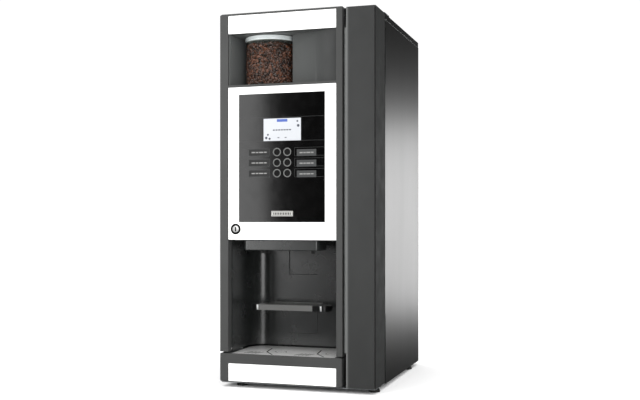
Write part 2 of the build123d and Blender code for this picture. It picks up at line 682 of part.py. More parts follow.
def display_module():
    """Colour display with the control board that it is soldered to."""
    board = (at_depth(12), at_depth(13.6))
    with BuildPart() as module:
        slab(
            (DISPLAY_X - DISPLAY_WIDTH / 2, DISPLAY_X + DISPLAY_WIDTH / 2),
            (at_depth(GLASS_INSET + 0.3), board[0]),
            (DISPLAY_Z - DISPLAY_HEIGHT / 2, DISPLAY_Z + DISPLAY_HEIGHT / 2),
        )
        slab((GLASS_LEFT + 8, GLASS_RIGHT - 8), board, (BUTTON_ROWS[-1] - 40, GLASS_HIGH - 20))
        slab((GLASS_LEFT + 30, GLASS_LEFT + 80), (board[1], board[1] + 9), (DISPLAY_Z - 15, DISPLAY_Z + 15))
        chip = (GLASS_RIGHT - 70, GLASS_RIGHT - 30)
        slab(chip, (board[1], board[1] + 6), (DISPLAY_Z - 10, DISPLAY_Z + 25))
    return module.part


def label_plates():
    """Six drink name plates and the plain badge plate, stuck on the glass."""
    y = (at_depth(GLASS_INSET - 0.4), at_depth(GLASS_INSET))
    with BuildPart() as plates:
        for span, rise in zip(LABEL_SPANS, LABEL_RISES):
            for row in BUTTON_ROWS:
                middle = row + rise
                slab(span, y, (middle - LABEL_HEIGHT / 2, middle + LABEL_HEIGHT / 2))
        low, half = GLASS_LOW + BADGE_RISE, BADGE_WIDTH / 2
        slab((DISPLAY_X - half, DISPLAY_X + half), y, (low, low + BADGE_HEIGHT))
    return plates.part


def button_rings():
    """Six bright rings pressed into the glass round the buttons."""
    with BuildPart() as rings:
        for x, z in BUTTON_PLACES:
            rod_y(x, z, RING_RADIUS, (GLASS_INSET - 0.5, GLASS_INSET + GLASS_THICK + 1))
            rod_y(x, z, RING_BORE, (GLASS_INSET - 2, GLASS_INSET + GLASS_THICK + 2), Mode.SUBTRACT)
    return rings.part


def button(x, z):
    """Round push button with the flange that keeps it behind its ring."""
    with BuildPart() as cap:
        rod_y(x, z, BUTTON_RADIUS, (GLASS_INSET - 0.2, GLASS_INSET + GLASS_THICK + 1.5))
        fillet(cap.faces().sort_by(Axis.Y)[0].edges(), 0.6)
        rod_y(x, z, BUTTON_RADIUS + 1.6, (GLASS_INSET + GLASS_THICK + 1.2, GLASS_INSET + GLASS_THICK + 2.6))
        rod_y(x, z, 2, (GLASS_INSET + GLASS_THICK + 2.6, GLASS_INSET + GLASS_THICK + 5.5))
    return cap.part


def lock_body():
    """Lock barrel housing with its bright front ring."""
    with BuildPart() as body:
        rod_y(LOCK_X, LOCK_Z, LOCK_RADIUS, (0.1, PANEL_INSET))
        fillet(body.faces().sort_by(Axis.Y)[0].edges(), 0.4)
        rod_y(LOCK_X, LOCK_Z, LOCK_RADIUS - 1.7, (PANEL_INSET, 34))
        rod_y(LOCK_X, LOCK_Z, LOCK_BORE, (-EPS, 35), Mode.SUBTRACT)
    return body.part


def lock_plug():
    """Turning lock plug with its key slot, long shaft and cam, in the unlocked position."""
    cam = (CHASSIS_DEPTH + SHEET + 2.5, CHASSIS_DEPTH + SHEET + 5.5)
    with BuildPart() as plug:
        rod_y(LOCK_X, LOCK_Z, LOCK_BORE - RUNNING, (0.3, 34))
        slab((LOCK_X - 0.8, LOCK_X + 0.8), (FRONT, at_depth(9)), (LOCK_Z - 4, LOCK_Z + 4), Mode.SUBTRACT)
        rod_y(LOCK_X, LOCK_Z, 4.5, (33, cam[1]))
        rod_y(LOCK_X, LOCK_Z, 7, cam)
        slab((LOCK_X - 6, LOCK_X + 6), (at_depth(cam[0]), at_depth(cam[1])), (LOCK_Z, LOCK_Z + CAM_REACH))
    return plug.part


# ================================================================ cup station
def niche_liner():
    """Round-backed wall of the cup station with its ceiling and the raised upper strip."""
    low, high = DOOR_LOW, NICHE_TOP
    rear = at_depth(NICHE_DEPTH)
    strip = (OPEN_MIDDLE - STRIP_WIDTH / 2, OPEN_MIDDLE + STRIP_WIDTH / 2)
    with BuildPart() as liner:
        with BuildSketch(Plane.XY.offset(low)):
            add(niche_outline(LINER_WALL - CLEAR, FRAME_THICK + CLEAR))
        extrude(amount=high - low)
        with BuildSketch(Plane.XY.offset(low - EPS)):
            add(niche_outline(0, FRAME_THICK - EPS))
        extrude(amount=high - low + EPS - LINER_WALL, mode=Mode.SUBTRACT)
        # upper strip: a groove runs down beside it and along under it
        foot = DOOR_LOW + STRIP_HIGH
        grooves = (
            ((strip[0], strip[0] + GROOVE_SIDE), (foot, high - LINER_WALL)),
            (strip, (foot, foot + GROOVE_LOW)),
        )
        # pocket that the shelf's bracket is let into
        plate = (DOOR_LOW + STRIP_LOW - 1.5 * POCKET_GAP, PIVOT_Z + BRACKET_RISE + POCKET_GAP)
        pocket = ((strip[0] - POCKET_GAP, strip[1] + POCKET_GAP), plate)
        sunk = [(*groove, GROOVE_DEEP) for groove in grooves] + [(*pocket, BRACKET_THICK + 2 * CLEAR)]
        for x, z, deep in sunk:
            around = (x[0] - LINER_WALL, x[1] + LINER_WALL), (rear, rear + deep + LINER_WALL)
            slab(*around, (z[0] - LINER_WALL, min(z[1] + LINER_WALL, high)))
        for x, z, deep in sunk:
            slab(x, (rear - EPS, rear + deep), z, Mode.SUBTRACT)
        # way through the ceiling for the drink funnel
        slab(
            (OPEN_LEFT + HEAD_LEFT_GAP + 20, OPEN_RIGHT - HEAD_RIGHT_GAP - 20),
            (at_depth(HEAD_FRONT + 20), at_depth(HEAD_FRONT + HEAD_LENGTH - 8)),
            (high - 4, high + 2),
            Mode.SUBTRACT,
        )
    return liner.part


def outlet_head():
    """Hood of the drink outlets, a shell hung under the ceiling of the cup station."""
    x = (OPEN_LEFT + HEAD_LEFT_GAP, OPEN_RIGHT - HEAD_RIGHT_GAP)
    y = (at_depth(HEAD_FRONT), at_depth(HEAD_FRONT + HEAD_LENGTH))
    top = NICHE_TOP - LINER_WALL - CLEAR
    with BuildPart() as head:
        slab(x, y, (top - HEAD_HEIGHT, top))
        fillet(head.edges().filter_by(Axis.Z), 9)
        fillet(head.faces().sort_by(Axis.Z)[0].edges(), 2)
        slab((x[0] + 9, x[1] - 9), (y[0] + 9, y[1] - 9), (top - HEAD_HEIGHT + 3, top + EPS), Mode.SUBTRACT)
        for place in NOZZLE_PLACES:
            rod_z(place, NOZZLE_DEPTH, NOZZLE_RADIUS + 0.2, (top - HEAD_HEIGHT - EPS, top), Mode.SUBTRACT)
    return head.part


NOZZLE_DEPTH = HEAD_FRONT + 42.0
NOZZLE_RADIUS = 4.0
NOZZLE_PLACES = (OPEN_LEFT + 66.0, OPEN_LEFT + 82.0, OPEN_RIGHT - 70.0)


def outlet_nozzles():
    """Funnel tray above the ceiling, with the three outlet nozzles that it feeds."""
    low = NICHE_TOP - LINER_WALL - HEAD_HEIGHT
    tray = (NICHE_TOP - 16, NICHE_TOP - LINER_WALL - 4)
    x = (NOZZLE_PLACES[0] - 12, NOZZLE_PLACES[2] + 12)
    y = (at_depth(NOZZLE_DEPTH - 13), at_depth(NOZZLE_DEPTH + 13))
    with BuildPart() as nozzles:
        slab(x, y, tray)
        slab((x[0] + 2, x[1] - 2), (y[0] + 2, y[1] - 2), (tray[0] + 2, tray[1] + EPS), Mode.SUBTRACT)
        for place in NOZZLE_PLACES:
            rod_z(place, NOZZLE_DEPTH, NOZZLE_RADIUS, (low - 8, tray[0] + 2))
        for place in NOZZLE_PLACES:
            rod_z(place, NOZZLE_DEPTH, NOZZLE_RADIUS - 1.2, (low - 9, tray[1]), Mode.SUBTRACT)
    return nozzles.part


PIVOT_DEPTH = NICHE_DEPTH - PIVOT_BACK
PIVOT_Z = SHELF_HIGH - 6.0
EAR_WIDTH = 4.0
TONGUE_HALF = STRIP_WIDTH / 2 - EAR_WIDTH - 1.0
BRACKET_THICK = 2.5
BRACKET_RISE = 9.0


def shelf_bracket():
    """Lower strip on the rear wall, with the two ears and the pin that the shelf turns on."""
    rear = NICHE_DEPTH + CLEAR + BRACKET_THICK
    half = STRIP_WIDTH / 2
    with BuildPart() as bracket:
        slab(
            (OPEN_MIDDLE - half, OPEN_MIDDLE + half),
            (at_depth(rear - BRACKET_THICK), at_depth(rear)),
            (DOOR_LOW + STRIP_LOW, PIVOT_Z + BRACKET_RISE),
        )
        for side in (-1, 1):
            ear = sorted((OPEN_MIDDLE + side * half, OPEN_MIDDLE + side * (half - EAR_WIDTH)))
            slab(ear, (at_depth(PIVOT_DEPTH), at_depth(rear)), (PIVOT_Z - 5.5, PIVOT_Z + 5.5))
            rod_x(PIVOT_DEPTH, PIVOT_Z, 5.5, ear)
        rod_x(PIVOT_DEPTH, PIVOT_Z, PIN_RADIUS, (OPEN_MIDDLE - half + 1, OPEN_MIDDLE + half - 1))
    return bracket.part


def cup_shelf():
    """Folding cup shelf: winged tray with drain slots, hinged at the rear wall."""
    x0, x1 = OPEN_LEFT + LINER_WALL + SHELF_SIDE, OPEN_RIGHT - LINER_WALL - SHELF_SIDE
    y0, y1 = at_depth(SHELF_FRONT), at_depth(PIVOT_DEPTH - 8)
    low = SHELF_HIGH - SHELF_THICK
    with BuildPart() as shelf:
        with BuildSketch(Plane.XY.offset(low)):
            with Locations(((x0 + x1) / 2, y0 + SHELF_WING)):
                SlotOverall(x1 - x0, 2 * SHELF_WING)
            with Locations(((x0 + x1) / 2, (y0 + y1) / 2)):
                Rectangle(x1 - x0 - 2 * SHELF_WAIST, y1 - y0)
        extrude(amount=SHELF_THICK)
        fillet(shelf.edges().filter_by(Axis.Z).group_by(Axis.Y)[-1], SHELF_REAR_CORNER)
        fillet(shelf.faces().sort_by(Axis.Z)[-1].edges(), 1.5)
        # sunk deck inside the rim, and the hollow underside
        deck = (x0 + SHELF_WAIST + 4, x1 - SHELF_WAIST - 4)
        slab(deck, (y0 + 5, y1 - 5), (SHELF_HIGH - 2, SHELF_HIGH + EPS), Mode.SUBTRACT)
        slab(deck, (y0 + 3, y1 - 3), (low - EPS, SHELF_HIGH - 5), Mode.SUBTRACT)
        with BuildSketch(Plane.XY.offset(low)):
            for middle in (deck[0] + 28, deck[1] - 28):
                with Locations((middle, (y0 + y1) / 2)):
                    with GridLocations(8, 0, 7, 1):
                        SlotOverall(44, 3, rotation=90)
        extrude(amount=SHELF_THICK + EPS, mode=Mode.SUBTRACT)
        # tongue that turns on the bracket pin
        tongue = (OPEN_MIDDLE - TONGUE_HALF, OPEN_MIDDLE + TONGUE_HALF)
        slab(tongue, (y1 - 6, at_depth(PIVOT_DEPTH)), (PIVOT_Z - 5, PIVOT_Z + 5))
        rod_x(PIVOT_DEPTH, PIVOT_Z, 5, tongue)
        rod_x(PIVOT_DEPTH, PIVOT_Z, PIN_RADIUS + RUNNING, (tongue[0] - EPS, tongue[1] + EPS), Mode.SUBTRACT)
    return shelf.part


# ================================================================ base drawer
def drip_drawer():
    """Pull-out base: front and sides, a top deck, and the round-backed drip tray."""
    x = (LEFT, FRAME_RIGHT - 1)
    deck = (DRAWER_TOP - 2, DRAWER_TOP)
    rear = at_depth(DOOR_DEPTH)
    with BuildPart() as drawer:
        slab(x, (FRONT, at_depth(FRAME_THICK)), (DRAWER_LOW, DRAWER_TOP))
        fillet(drawer.edges().filter_by(Axis.Y).sort_by(Axis.Z)[:2], 3.5)
        fillet(drawer.edges().filter_by(Axis.Y).sort_by(Axis.Z)[-2:], 2)
        front = drawer.faces().sort_by(Axis.Y)[0].outer_wire().edges()
        fillet(front.filter_by(Axis.X).sort_by(Axis.Z)[-1], 1.5)
        for side in ((x[0], x[0] + DRAWER_WALL), (x[1] - DRAWER_WALL, x[1])):
            slab(side, (at_depth(FRAME_THICK), rear), (DRAWER_LOW, DRAWER_TOP))
        slab(x, (at_depth(FRAME_THICK - 2), rear), deck)
        with BuildSketch(Plane.XY.offset(DRAWER_LOW)):
            add(niche_outline(0, FRAME_THICK - 2))
        extrude(amount=DRAWER_HEIGHT)
        with BuildSketch(Plane.XY.offset(DRAWER_LOW + DRAWER_WALL)):
            add(niche_outline(-TRAY_RIM, 6))
        extrude(amount=DRAWER_HEIGHT, mode=Mode.SUBTRACT)
        # ledge for the grille, open to just behind the front edge
        with BuildSketch(Plane.XY.offset(DRAWER_TOP - GRILLE_THICK - 0.4)):
            add(niche_outline(0.6 - GRILLE_GAP, 3.6))
        extrude(amount=GRILLE_THICK + EPS, mode=Mode.SUBTRACT)
        # opening for the white panel
        slab(
            (OPEN_LEFT, OPEN_RIGHT),
            (FRONT - EPS, at_depth(PANEL_INSET + PANEL_THICK)),
            (BODY_LOW + DRAWER_PANEL_LOW, BODY_LOW + DRAWER_PANEL_HIGH),
            Mode.SUBTRACT,
        )
    return drawer.part


def drawer_panel():
    """White panel let into the front of the base drawer."""
    with BuildPart() as panel:
        slab(
            (OPEN_LEFT + FIT, OPEN_RIGHT - FIT),
            (at_depth(PANEL_INSET), at_depth(PANEL_INSET + PANEL_THICK)),
            (BODY_LOW + DRAWER_PANEL_LOW + FIT, BODY_LOW + DRAWER_PANEL_HIGH - FIT),
        )
        fillet(panel.faces().sort_by(Axis.Y)[0].edges(), 0.5)
    return panel.part


def drip_grille():
    """Steel drip grille: the same figure of bent slots, hexagon and short slots, cut twice."""
    plane = Plane.XY.offset(DRAWER_TOP - GRILLE_THICK - 0.2)
    bend = (-19.0, -10.0)  # the figure is placed from its own middle
    arms = ((bend[0] - 10, bend[1] + 64), (bend[0] + 28, bend[1] - 40))
    with BuildPart() as grille:
        with BuildSketch(plane):
            add(niche_outline(-GRILLE_GAP, 4.2))
            for middle in GRILLE_FIGURES:
                x, y = OPEN_MIDDLE + middle, at_depth(62)
                for end in arms:
                    run, rise = end[0] - bend[0], end[1] - bend[1]
                    with Locations((x + (end[0] + bend[0]) / 2, y + (end[1] + bend[1]) / 2)):
                        angle = math.degrees(math.atan2(rise, run))
                        SlotCenterToCenter(math.hypot(run, rise), 3.4, rotation=angle, mode=Mode.SUBTRACT)
                with Locations((x + 12, y)):
                    with PolarLocations(13, 6):
                        SlotOverall(11, 3, rotation=90, mode=Mode.SUBTRACT)
                with Locations((x - 44, y - 28)):
                    with GridLocations(9, 0, 4, 1):
                        SlotOverall(34, 4.6, rotation=70, mode=Mode.SUBTRACT)
        extrude(amount=GRILLE_THICK)
    return grille.part


# ================================================================ beans and grinder
def bean_canister():
    """Clear bean canister, open at the top, with its outlet over the grinder."""
    top = CANISTER_LOW + CANISTER_HEIGHT
    with BuildPart() as canister:
        with BuildSketch(Plane.XY.offset(CANISTER_LOW)):
            add(canister_outline(0))
        extrude(amount=CANISTER_HEIGHT)
        with BuildSketch(Plane.XY.offset(CANISTER_LOW + CANISTER_WALL)):
            add(canister_outline(CANISTER_WALL))
        extrude(amount=CANISTER_HEIGHT, mode=Mode.SUBTRACT)
        rod_z(CANISTER_X, GRINDER_DEPTH, 20, (CANISTER_LOW - EPS, CANISTER_LOW + 10), Mode.SUBTRACT)
        rod_z(CANISTER_X, GRINDER_DEPTH, 24, (CANISTER_LOW - 10, CANISTER_LOW + 1))
        rod_z(CANISTER_X, GRINDER_DEPTH, 20, (CANISTER_LOW - 12, CANISTER_LOW + 5), Mode.SUBTRACT)
    return canister.part


def bean_lid():
    """Light lid of the bean canister; its front edge hangs lower in the middle."""
    top = CANISTER_LOW + CANISTER_HEIGHT
    with BuildPart() as lid:
        with BuildSketch(Plane.XY.offset(top)):
            add(canister_outline(0))
        extrude(amount=LID_THICK)
        fillet(lid.faces().sort_by(Axis.Z)[-1].edges(), 1.5)
        with BuildSketch(Plane.XY.offset(top - 4)):
            add(canister_outline(CANISTER_WALL + 0.3))
            add(canister_outline(CANISTER_WALL + 2.3), mode=Mode.SUBTRACT)
        extrude(amount=4)
    return lid.part


def coffee_beans():
    """The beans in the canister, as one block of their outer shape."""
    with BuildPart() as beans:
        with BuildSketch(Plane.XY.offset(CANISTER_LOW + CANISTER_WALL)):
            add(canister_outline(CANISTER_WALL + 0.4))
        extrude(amount=BEAN_DEPTH)
    return beans.part


GRINDER_LOW = SHELF_PLATE - 34.0
GRINDER_TOP = CANISTER_LOW - 10.5
BURR_RADIUS = 26.0


def grinder_housing():
    """Grinder body with its chamber and chute, and the motor can that hangs below it."""
    with BuildPart() as grinder:
        rod_z(CANISTER_X, GRINDER_DEPTH, GRINDER_RADIUS, (GRINDER_LOW, GRINDER_TOP))
        fillet(grinder.faces().sort_by(Axis.Z)[-1].edges(), 4)
        rod_z(CANISTER_X, GRINDER_DEPTH, 34, (GRINDER_LOW - 46, GRINDER_LOW))
        slab(
            (CANISTER_X - CHUTE_HALF, CANISTER_X + CHUTE_HALF),
            (at_depth(GRINDER_DEPTH - GRINDER_RADIUS - 16), at_depth(GRINDER_DEPTH - 20)),
            (GRINDER_LOW + 8, GRINDER_LOW + 50),
        )
        rod_z(CANISTER_X, GRINDER_DEPTH, BURR_RADIUS + 5, (GRINDER_TOP - 46, GRINDER_TOP - 6), Mode.SUBTRACT)
        rod_z(CANISTER_X, GRINDER_DEPTH, 20, (GRINDER_TOP - 10, GRINDER_TOP + EPS), Mode.SUBTRACT)
        rod_z(CANISTER_X, GRINDER_DEPTH, 5, (GRINDER_LOW + 4, GRINDER_TOP - 40), Mode.SUBTRACT)
    return grinder.part


def grinder_burr():
    """Toothed lower burr on its motor shaft."""
    low = GRINDER_TOP - 42
    with BuildPart() as burr:
        with Locations((CANISTER_X, at_depth(GRINDER_DEPTH), low + 8)):
            Cone(BURR_RADIUS, BURR_RADIUS - 12, 16)
        rod_z(CANISTER_X, GRINDER_DEPTH, 5 - RUNNING, (GRINDER_LOW + 5, low + 1))
        for index in range(12):
            angle = math.radians(30 * index)
            x = CANISTER_X + 24 * math.cos(angle)
            y = at_depth(GRINDER_DEPTH) + 22 * math.sin(angle)
            with Locations(Location((x, y, low + 12), (0, 0, 30 * index))):
                Box(14, 3, 10, mode=Mode.SUBTRACT)
    return burr.part


# ================================================================ powders and mixers
POWDER_FRONT = CHASSIS_DEPTH + 16.0
POWDER_BACK = MACHINE_BACK - 14.0
POWDER_TOP = CABINET_TOP - 52.0
AUGER_RADIUS = 12.0
AUGER_Z = SHELF_PLATE + 20.0
MIXER_TOP = SHELF_PLATE - 8.0
MIXER_RADIUS = 23.0
WHIP_Z = MIXER_TOP - 62.0


def powder_x(index):
    """Left edge of one powder canister."""
    return POWDER_LEFT + index * MIXER_PITCH


def ingredient_canisters():
    """The milk and cocoa powder canisters, with the auger trough and the front spout."""
    with BuildPart() as canisters:
        for index in range(2):
            x0 = powder_x(index)
            x1, middle = x0 + POWDER_WIDTH, x0 + POWDER_WIDTH / 2
            slab((x0, x1), (at_depth(POWDER_FRONT), at_depth(POWDER_BACK)), (SHELF_PLATE + CLEAR, POWDER_TOP))
            slab(
                (x0 + 2, x1 - 2),
                (at_depth(POWDER_FRONT) + 2, at_depth(POWDER_BACK) - 2),
                (AUGER_Z + 2, POWDER_TOP + EPS),
                Mode.SUBTRACT,
            )
            rod_y(middle, AUGER_Z, AUGER_RADIUS + 1.5, (POWDER_FRONT + 2, POWDER_BACK - 2), Mode.SUBTRACT)
            slab(
                (middle - AUGER_RADIUS - 1.5, middle + AUGER_RADIUS + 1.5),
                (at_depth(POWDER_FRONT) + 2, at_depth(POWDER_BACK) - 2),
                (AUGER_Z, AUGER_Z + 3),
                Mode.SUBTRACT,
            )
            rod_y(middle, AUGER_Z, 3.2, (POWDER_BACK - 3, POWDER_BACK + EPS), Mode.SUBTRACT)
    return canisters.part


def canister_lids():
    """Push-on lids of the two powder canisters."""
    with BuildPart() as lids:
        for index in range(2):
            x0 = powder_x(index)
            slab(
                (x0, x0 + POWDER_WIDTH),
                (at_depth(POWDER_FRONT), at_depth(POWDER_BACK)),
                (POWDER_TOP, POWDER_TOP + 5),
            )
            slab(
                (x0 + 2.3, x0 + POWDER_WIDTH - 2.3),
                (at_depth(POWDER_FRONT) + 2.3, at_depth(POWDER_BACK) - 2.3),
                (POWDER_TOP - 4, POWDER_TOP),
            )
    return lids.part


def powder_auger(index):
    """Dosing auger of one canister: a shaft with its flights."""
    middle = powder_x(index) + POWDER_WIDTH / 2
    start, end = POWDER_FRONT + 4, POWDER_BACK - 4
    flights = int((end - start - 8) / 14)
    with BuildPart() as auger:
        rod_y(middle, AUGER_Z, 3.2 - RUNNING, (start, POWDER_BACK + 6))
        for flight in range(flights):
            depth = start + 6 + flight * 14
            with Locations(Location((middle, at_depth(depth), AUGER_Z), (72, 0, 0))):
                Cylinder(AUGER_RADIUS, 1.6)
    return auger.part


def mixing_bowls():
    """The two mixing bowls under the canister spouts, with their outlet pipes."""
    with BuildPart() as bowls:
        for index in range(2):
            x = powder_x(index) + POWDER_WIDTH / 2
            y = at_depth(MIXER_DEPTH)
            with Locations((x, y, MIXER_TOP - 20)):
                Cone(MIXER_RADIUS - 7, MIXER_RADIUS, 40)
            rod_z(x, MIXER_DEPTH, MIXER_RADIUS - 7, (MIXER_TOP - 78, MIXER_TOP - 40))
            rod_z(x, MIXER_DEPTH, 5, (NICHE_TOP + 18, MIXER_TOP - 70))
            with Locations((x, y, MIXER_TOP - 19)):
                Cone(MIXER_RADIUS - 9, MIXER_RADIUS - 2, 42, mode=Mode.SUBTRACT)
            rod_z(x, MIXER_DEPTH, MIXER_RADIUS - 9, (MIXER_TOP - 76, MIXER_TOP - 36), Mode.SUBTRACT)
            rod_z(x, MIXER_DEPTH, 3.5, (NICHE_TOP + 17, MIXER_TOP - 70), Mode.SUBTRACT)
            rod_y(x, WHIP_Z, 3.2, (MIXER_DEPTH, MIXER_DEPTH + 30), Mode.SUBTRACT)
    return bowls.part


def whipper(index):
    """Whipper wheel of one mixing bowl, on its shaft."""
    x = powder_x(index) + POWDER_WIDTH / 2
    with BuildPart() as wheel:
        rod_y(x, WHIP_Z, 3.2 - RUNNING - 0.1, (MIXER_DEPTH - 4, MIXER_DEPTH + 28))
        for blade in range(4):
            with Locations(Location((x, at_depth(MIXER_DEPTH - 1), WHIP_Z), (0, 45 * blade, 0))):
                Box(20, 5, 1.6)
    return wheel.part


def mixer_motors():
    """Whipper motors behind the bowls and auger motors behind the canisters."""
    with BuildPart() as motors:
        for index in range(2):
            x = powder_x(index) + POWDER_WIDTH / 2
            rod_y(x, WHIP_Z, 16, (MIXER_DEPTH + 29, MIXER_DEPTH + 74))
            rod_y(x, AUGER_Z, 14, (POWDER_BACK + 7, POWDER_BACK + 44))
    return motors.part


# ================================================================ brewer and water
BREWER_LEFT, BREWER_RIGHT = CANISTER_X - 48.0, CANISTER_X + 48.0
BREWER_FRONT = NICHE_DEPTH + 16.0
BREWER_BACK = MACHINE_BACK - 14.0
BREWER_LOW = NICHE_TOP + 24.0
BREWER_TOP = GRINDER_LOW - 50.0
BREWER_TRAVEL = 40.0
BREWER_X = CANISTER_X - 12.0
BREWER_DEPTH = (BREWER_FRONT + BREWER_BACK) / 2
SCREW_X = BREWER_RIGHT - 16.0


def brewer_frame():
    """Brewer side plates, end plates, brew chamber, outlet spout and drive motor."""
    low, top = BREWER_LOW, BREWER_TOP
    y = (at_depth(BREWER_FRONT), at_depth(BREWER_BACK))
    with BuildPart() as frame:
        for x in ((BREWER_LEFT, BREWER_LEFT + 4), (BREWER_RIGHT - 4, BREWER_RIGHT)):
            slab(x, (y[0] + 10, y[1] - 10), (low, top))
        slab((BREWER_LEFT, BREWER_RIGHT), y, (low, low + 6))
        slab((BREWER_LEFT, BREWER_RIGHT), y, (top - 6, top))
        rod_z(BREWER_X, BREWER_DEPTH, 30, (low + 6, low + 64))
        rod_z(BREWER_X, BREWER_DEPTH, 24, (low + 12, low + 70), Mode.SUBTRACT)
        slab((BREWER_X - 8, BREWER_X + 8), (at_depth(MIXER_DEPTH), y[0] + 4), (low, low + 10))
        rod_z(BREWER_X, MIXER_DEPTH, 8, (NICHE_TOP + 18, low + 10))
        rod_z(BREWER_X, MIXER_DEPTH, 4, (NICHE_TOP + 17, low + 8), Mode.SUBTRACT)
        for z in ((low - EPS, low + 7), (top - 7, top + EPS)):
            rod_z(SCREW_X, BREWER_DEPTH, 4 + RUNNING, z, Mode.SUBTRACT)
    return frame.part


def brew_piston():
    """Upper piston of the brewer, on the arm that the lead screw moves."""
    arm_low = BREWER_TOP - 34
    with BuildPart() as piston:
        arm_y = (at_depth(BREWER_DEPTH - 12), at_depth(BREWER_DEPTH + 12))
        slab((BREWER_X - 14, SCREW_X + 10), arm_y, (arm_low, arm_low + 12))
        rod_z(BREWER_X, BREWER_DEPTH, 8, (PISTON_LOW + 10, arm_low + 1))
        rod_z(BREWER_X, BREWER_DEPTH, 23, (PISTON_LOW, PISTON_LOW + 12))
        fillet(piston.faces().sort_by(Axis.Z)[0].edges(), 1.5)
        rod_z(SCREW_X, BREWER_DEPTH, 5.1, (arm_low - EPS, arm_low + 14), Mode.SUBTRACT)
    return piston.part


PISTON_LOW = BREWER_LOW + 66.0


def brewer_screw():
    """Lead screw of the brewer."""
    with BuildPart() as screw:
        rod_z(SCREW_X, BREWER_DEPTH, 5, (BREWER_LOW + 7, BREWER_TOP - 7))
        rod_z(SCREW_X, BREWER_DEPTH, 4, (BREWER_LOW + 1, BREWER_TOP + 10))
        rod_z(SCREW_X, BREWER_DEPTH, 10, (BREWER_TOP + 1, BREWER_TOP + 9))
    return screw.part


BOILER_X = LEFT + 64.0
BOILER_DEPTH = DEPTH - 62.0
BOILER_LOW = POCKET_HIGH + 60.0


def boiler():
    """Insulated hot water boiler with domed ends and its top fittings."""
    high = BOILER_LOW + BOILER_HEIGHT
    with BuildPart() as tank:
        rod_z(BOILER_X, BOILER_DEPTH, BOILER_RADIUS, (BOILER_LOW, high))
        fillet(tank.edges().filter_by(GeomType.CIRCLE), 14)
        for side in (-16, 16):
            rod_z(BOILER_X + side, BOILER_DEPTH, 5, (high - 2, high + 18))
        rod_z(BOILER_X, BOILER_DEPTH, 9, (high - 2, high + 10))
        for side in (-28, 28):
            rod_z(BOILER_X + side * 0.7, BOILER_DEPTH, 4, (BOILER_LOW - 20, BOILER_LOW + 8))
    return tank.part


PUMP_X = PARTITION_X - 62.0
PUMP_Z = POCKET_HIGH + 80.0


def water_pump():
    """Vibration pump in its bracket."""
    depth = DEPTH - 66.0
    with BuildPart() as pump:
        rod_x(depth, PUMP_Z, 20, (PUMP_X - 34, PUMP_X + 22))
        rod_x(depth, PUMP_Z, 8, (PUMP_X + 20, PUMP_X + 42))
        rod_x(depth, PUMP_Z, 5, (PUMP_X - 48, PUMP_X - 30))
        bracket_y = (at_depth(depth - 22), at_depth(depth + 22))
        slab((PUMP_X - 26, PUMP_X + 14), bracket_y, (PUMP_Z - 26, PUMP_Z - 14))
    return pump.part


WASTE_FRONT = NICHE_DEPTH + 14.0
WASTE_HEIGHT = 150.0


def waste_bin():
    """Open-topped bin for the coffee grounds, on the base pan behind the cup station."""
    x = (LEFT + 22, PARTITION_X - 10)
    y = (at_depth(WASTE_FRONT), at_depth(MACHINE_BACK - 8))
    low, wall = BODY_LOW + SHEET + CLEAR, 2.5
    with BuildPart() as bin_part:
        slab(x, y, (low, low + WASTE_HEIGHT))
        fillet(bin_part.edges().filter_by(Axis.Z), 12)
        inner = [(span[0] + wall, span[1] - wall) for span in (x, y)]
        slab(*inner, (low + wall, low + WASTE_HEIGHT + EPS), Mode.SUBTRACT)
    return bin_part.part


def control_board():
    """Control board, power supply and payment blank in the electronics bay."""
    x = PARTITION_X + SHEET + 6
    with BuildPart() as board:
        slab((x, x + 1.6), (at_depth(130), at_depth(DEPTH - 70)), (NICHE_TOP + 60, UI_TOP - 60))
        for y, z, size in ((160, 480, 24), (220, 520, 34), (280, 460, 20), (330, 540, 28)):
            height = NICHE_TOP + 60 + (z - 440)
            slab((x + 1.6, x + 1.6 + size / 2), (at_depth(y), at_depth(y + size)), (height, height + size))
        slab((x, x + 44), (at_depth(140), at_depth(DEPTH - 90)), (NICHE_TOP - 140, NICHE_TOP - 40))
    return board.part


# ================================================================ write every node
def save(name, shape):
    """Labels a finished piece and writes it as parts/NAME.step."""
    shape.label = name
    export_step(shape, f"parts/{name}.step")


def main():
    """Builds and writes every node of the machine."""
    os.makedirs("parts", exist_ok=True)
    for maker in (
        base_pan, back_panel, water_inlet, mains_inlet, top_cover, chassis_frame, inner_chassis,
        hinge_brackets, front_frame, door_shell, column_cover, sign_panel, window_liner, ui_surround,
        ui_glass, display_module, label_plates, button_rings, lock_body, lock_plug, niche_liner,
        outlet_head, outlet_nozzles, shelf_bracket, cup_shelf, drip_drawer, drawer_panel, drip_grille,
        bean_canister, bean_lid, coffee_beans, grinder_housing, grinder_burr, ingredient_canisters,
        canister_lids, mixing_bowls, mixer_motors, brewer_frame, brew_piston, brewer_screw, boiler,
        water_pump, waste_bin, control_board,
    ):
        save(maker.__name__, maker())
    save("left_side_panel", side_panel(-1))
    save("right_side_panel", side_panel(1))
    corners = ("front_left", "front_right", "rear_left", "rear_right")
    for corner, place in zip(corners, FOOT_PLACES):
        save(f"foot_{corner}", screwed_foot(*place))
    for number, place in enumerate(BUTTON_PLACES, 1):
        save(f"button_{number}", button(*place))
    for index, powder in enumerate(("milk", "cocoa")):
        save(f"{powder}_auger", powder_auger(index))
        save(f"{powder}_whipper", whipper(index))


if __name__ == "__main__":
    main()
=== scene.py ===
"""Looks of a table-top hot coffee vending machine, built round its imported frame.

The frame gives every place and size: pieces read the boxes of its nodes. Lengths are metres.
Each sub-assembly is a class that builds its pieces and dresses them in their finishes.
"""

import logging
import math
from dataclasses import dataclass, field
from enum import Enum
from typing import Sequence

import bmesh
import bpy
from mathutils import Matrix, Vector


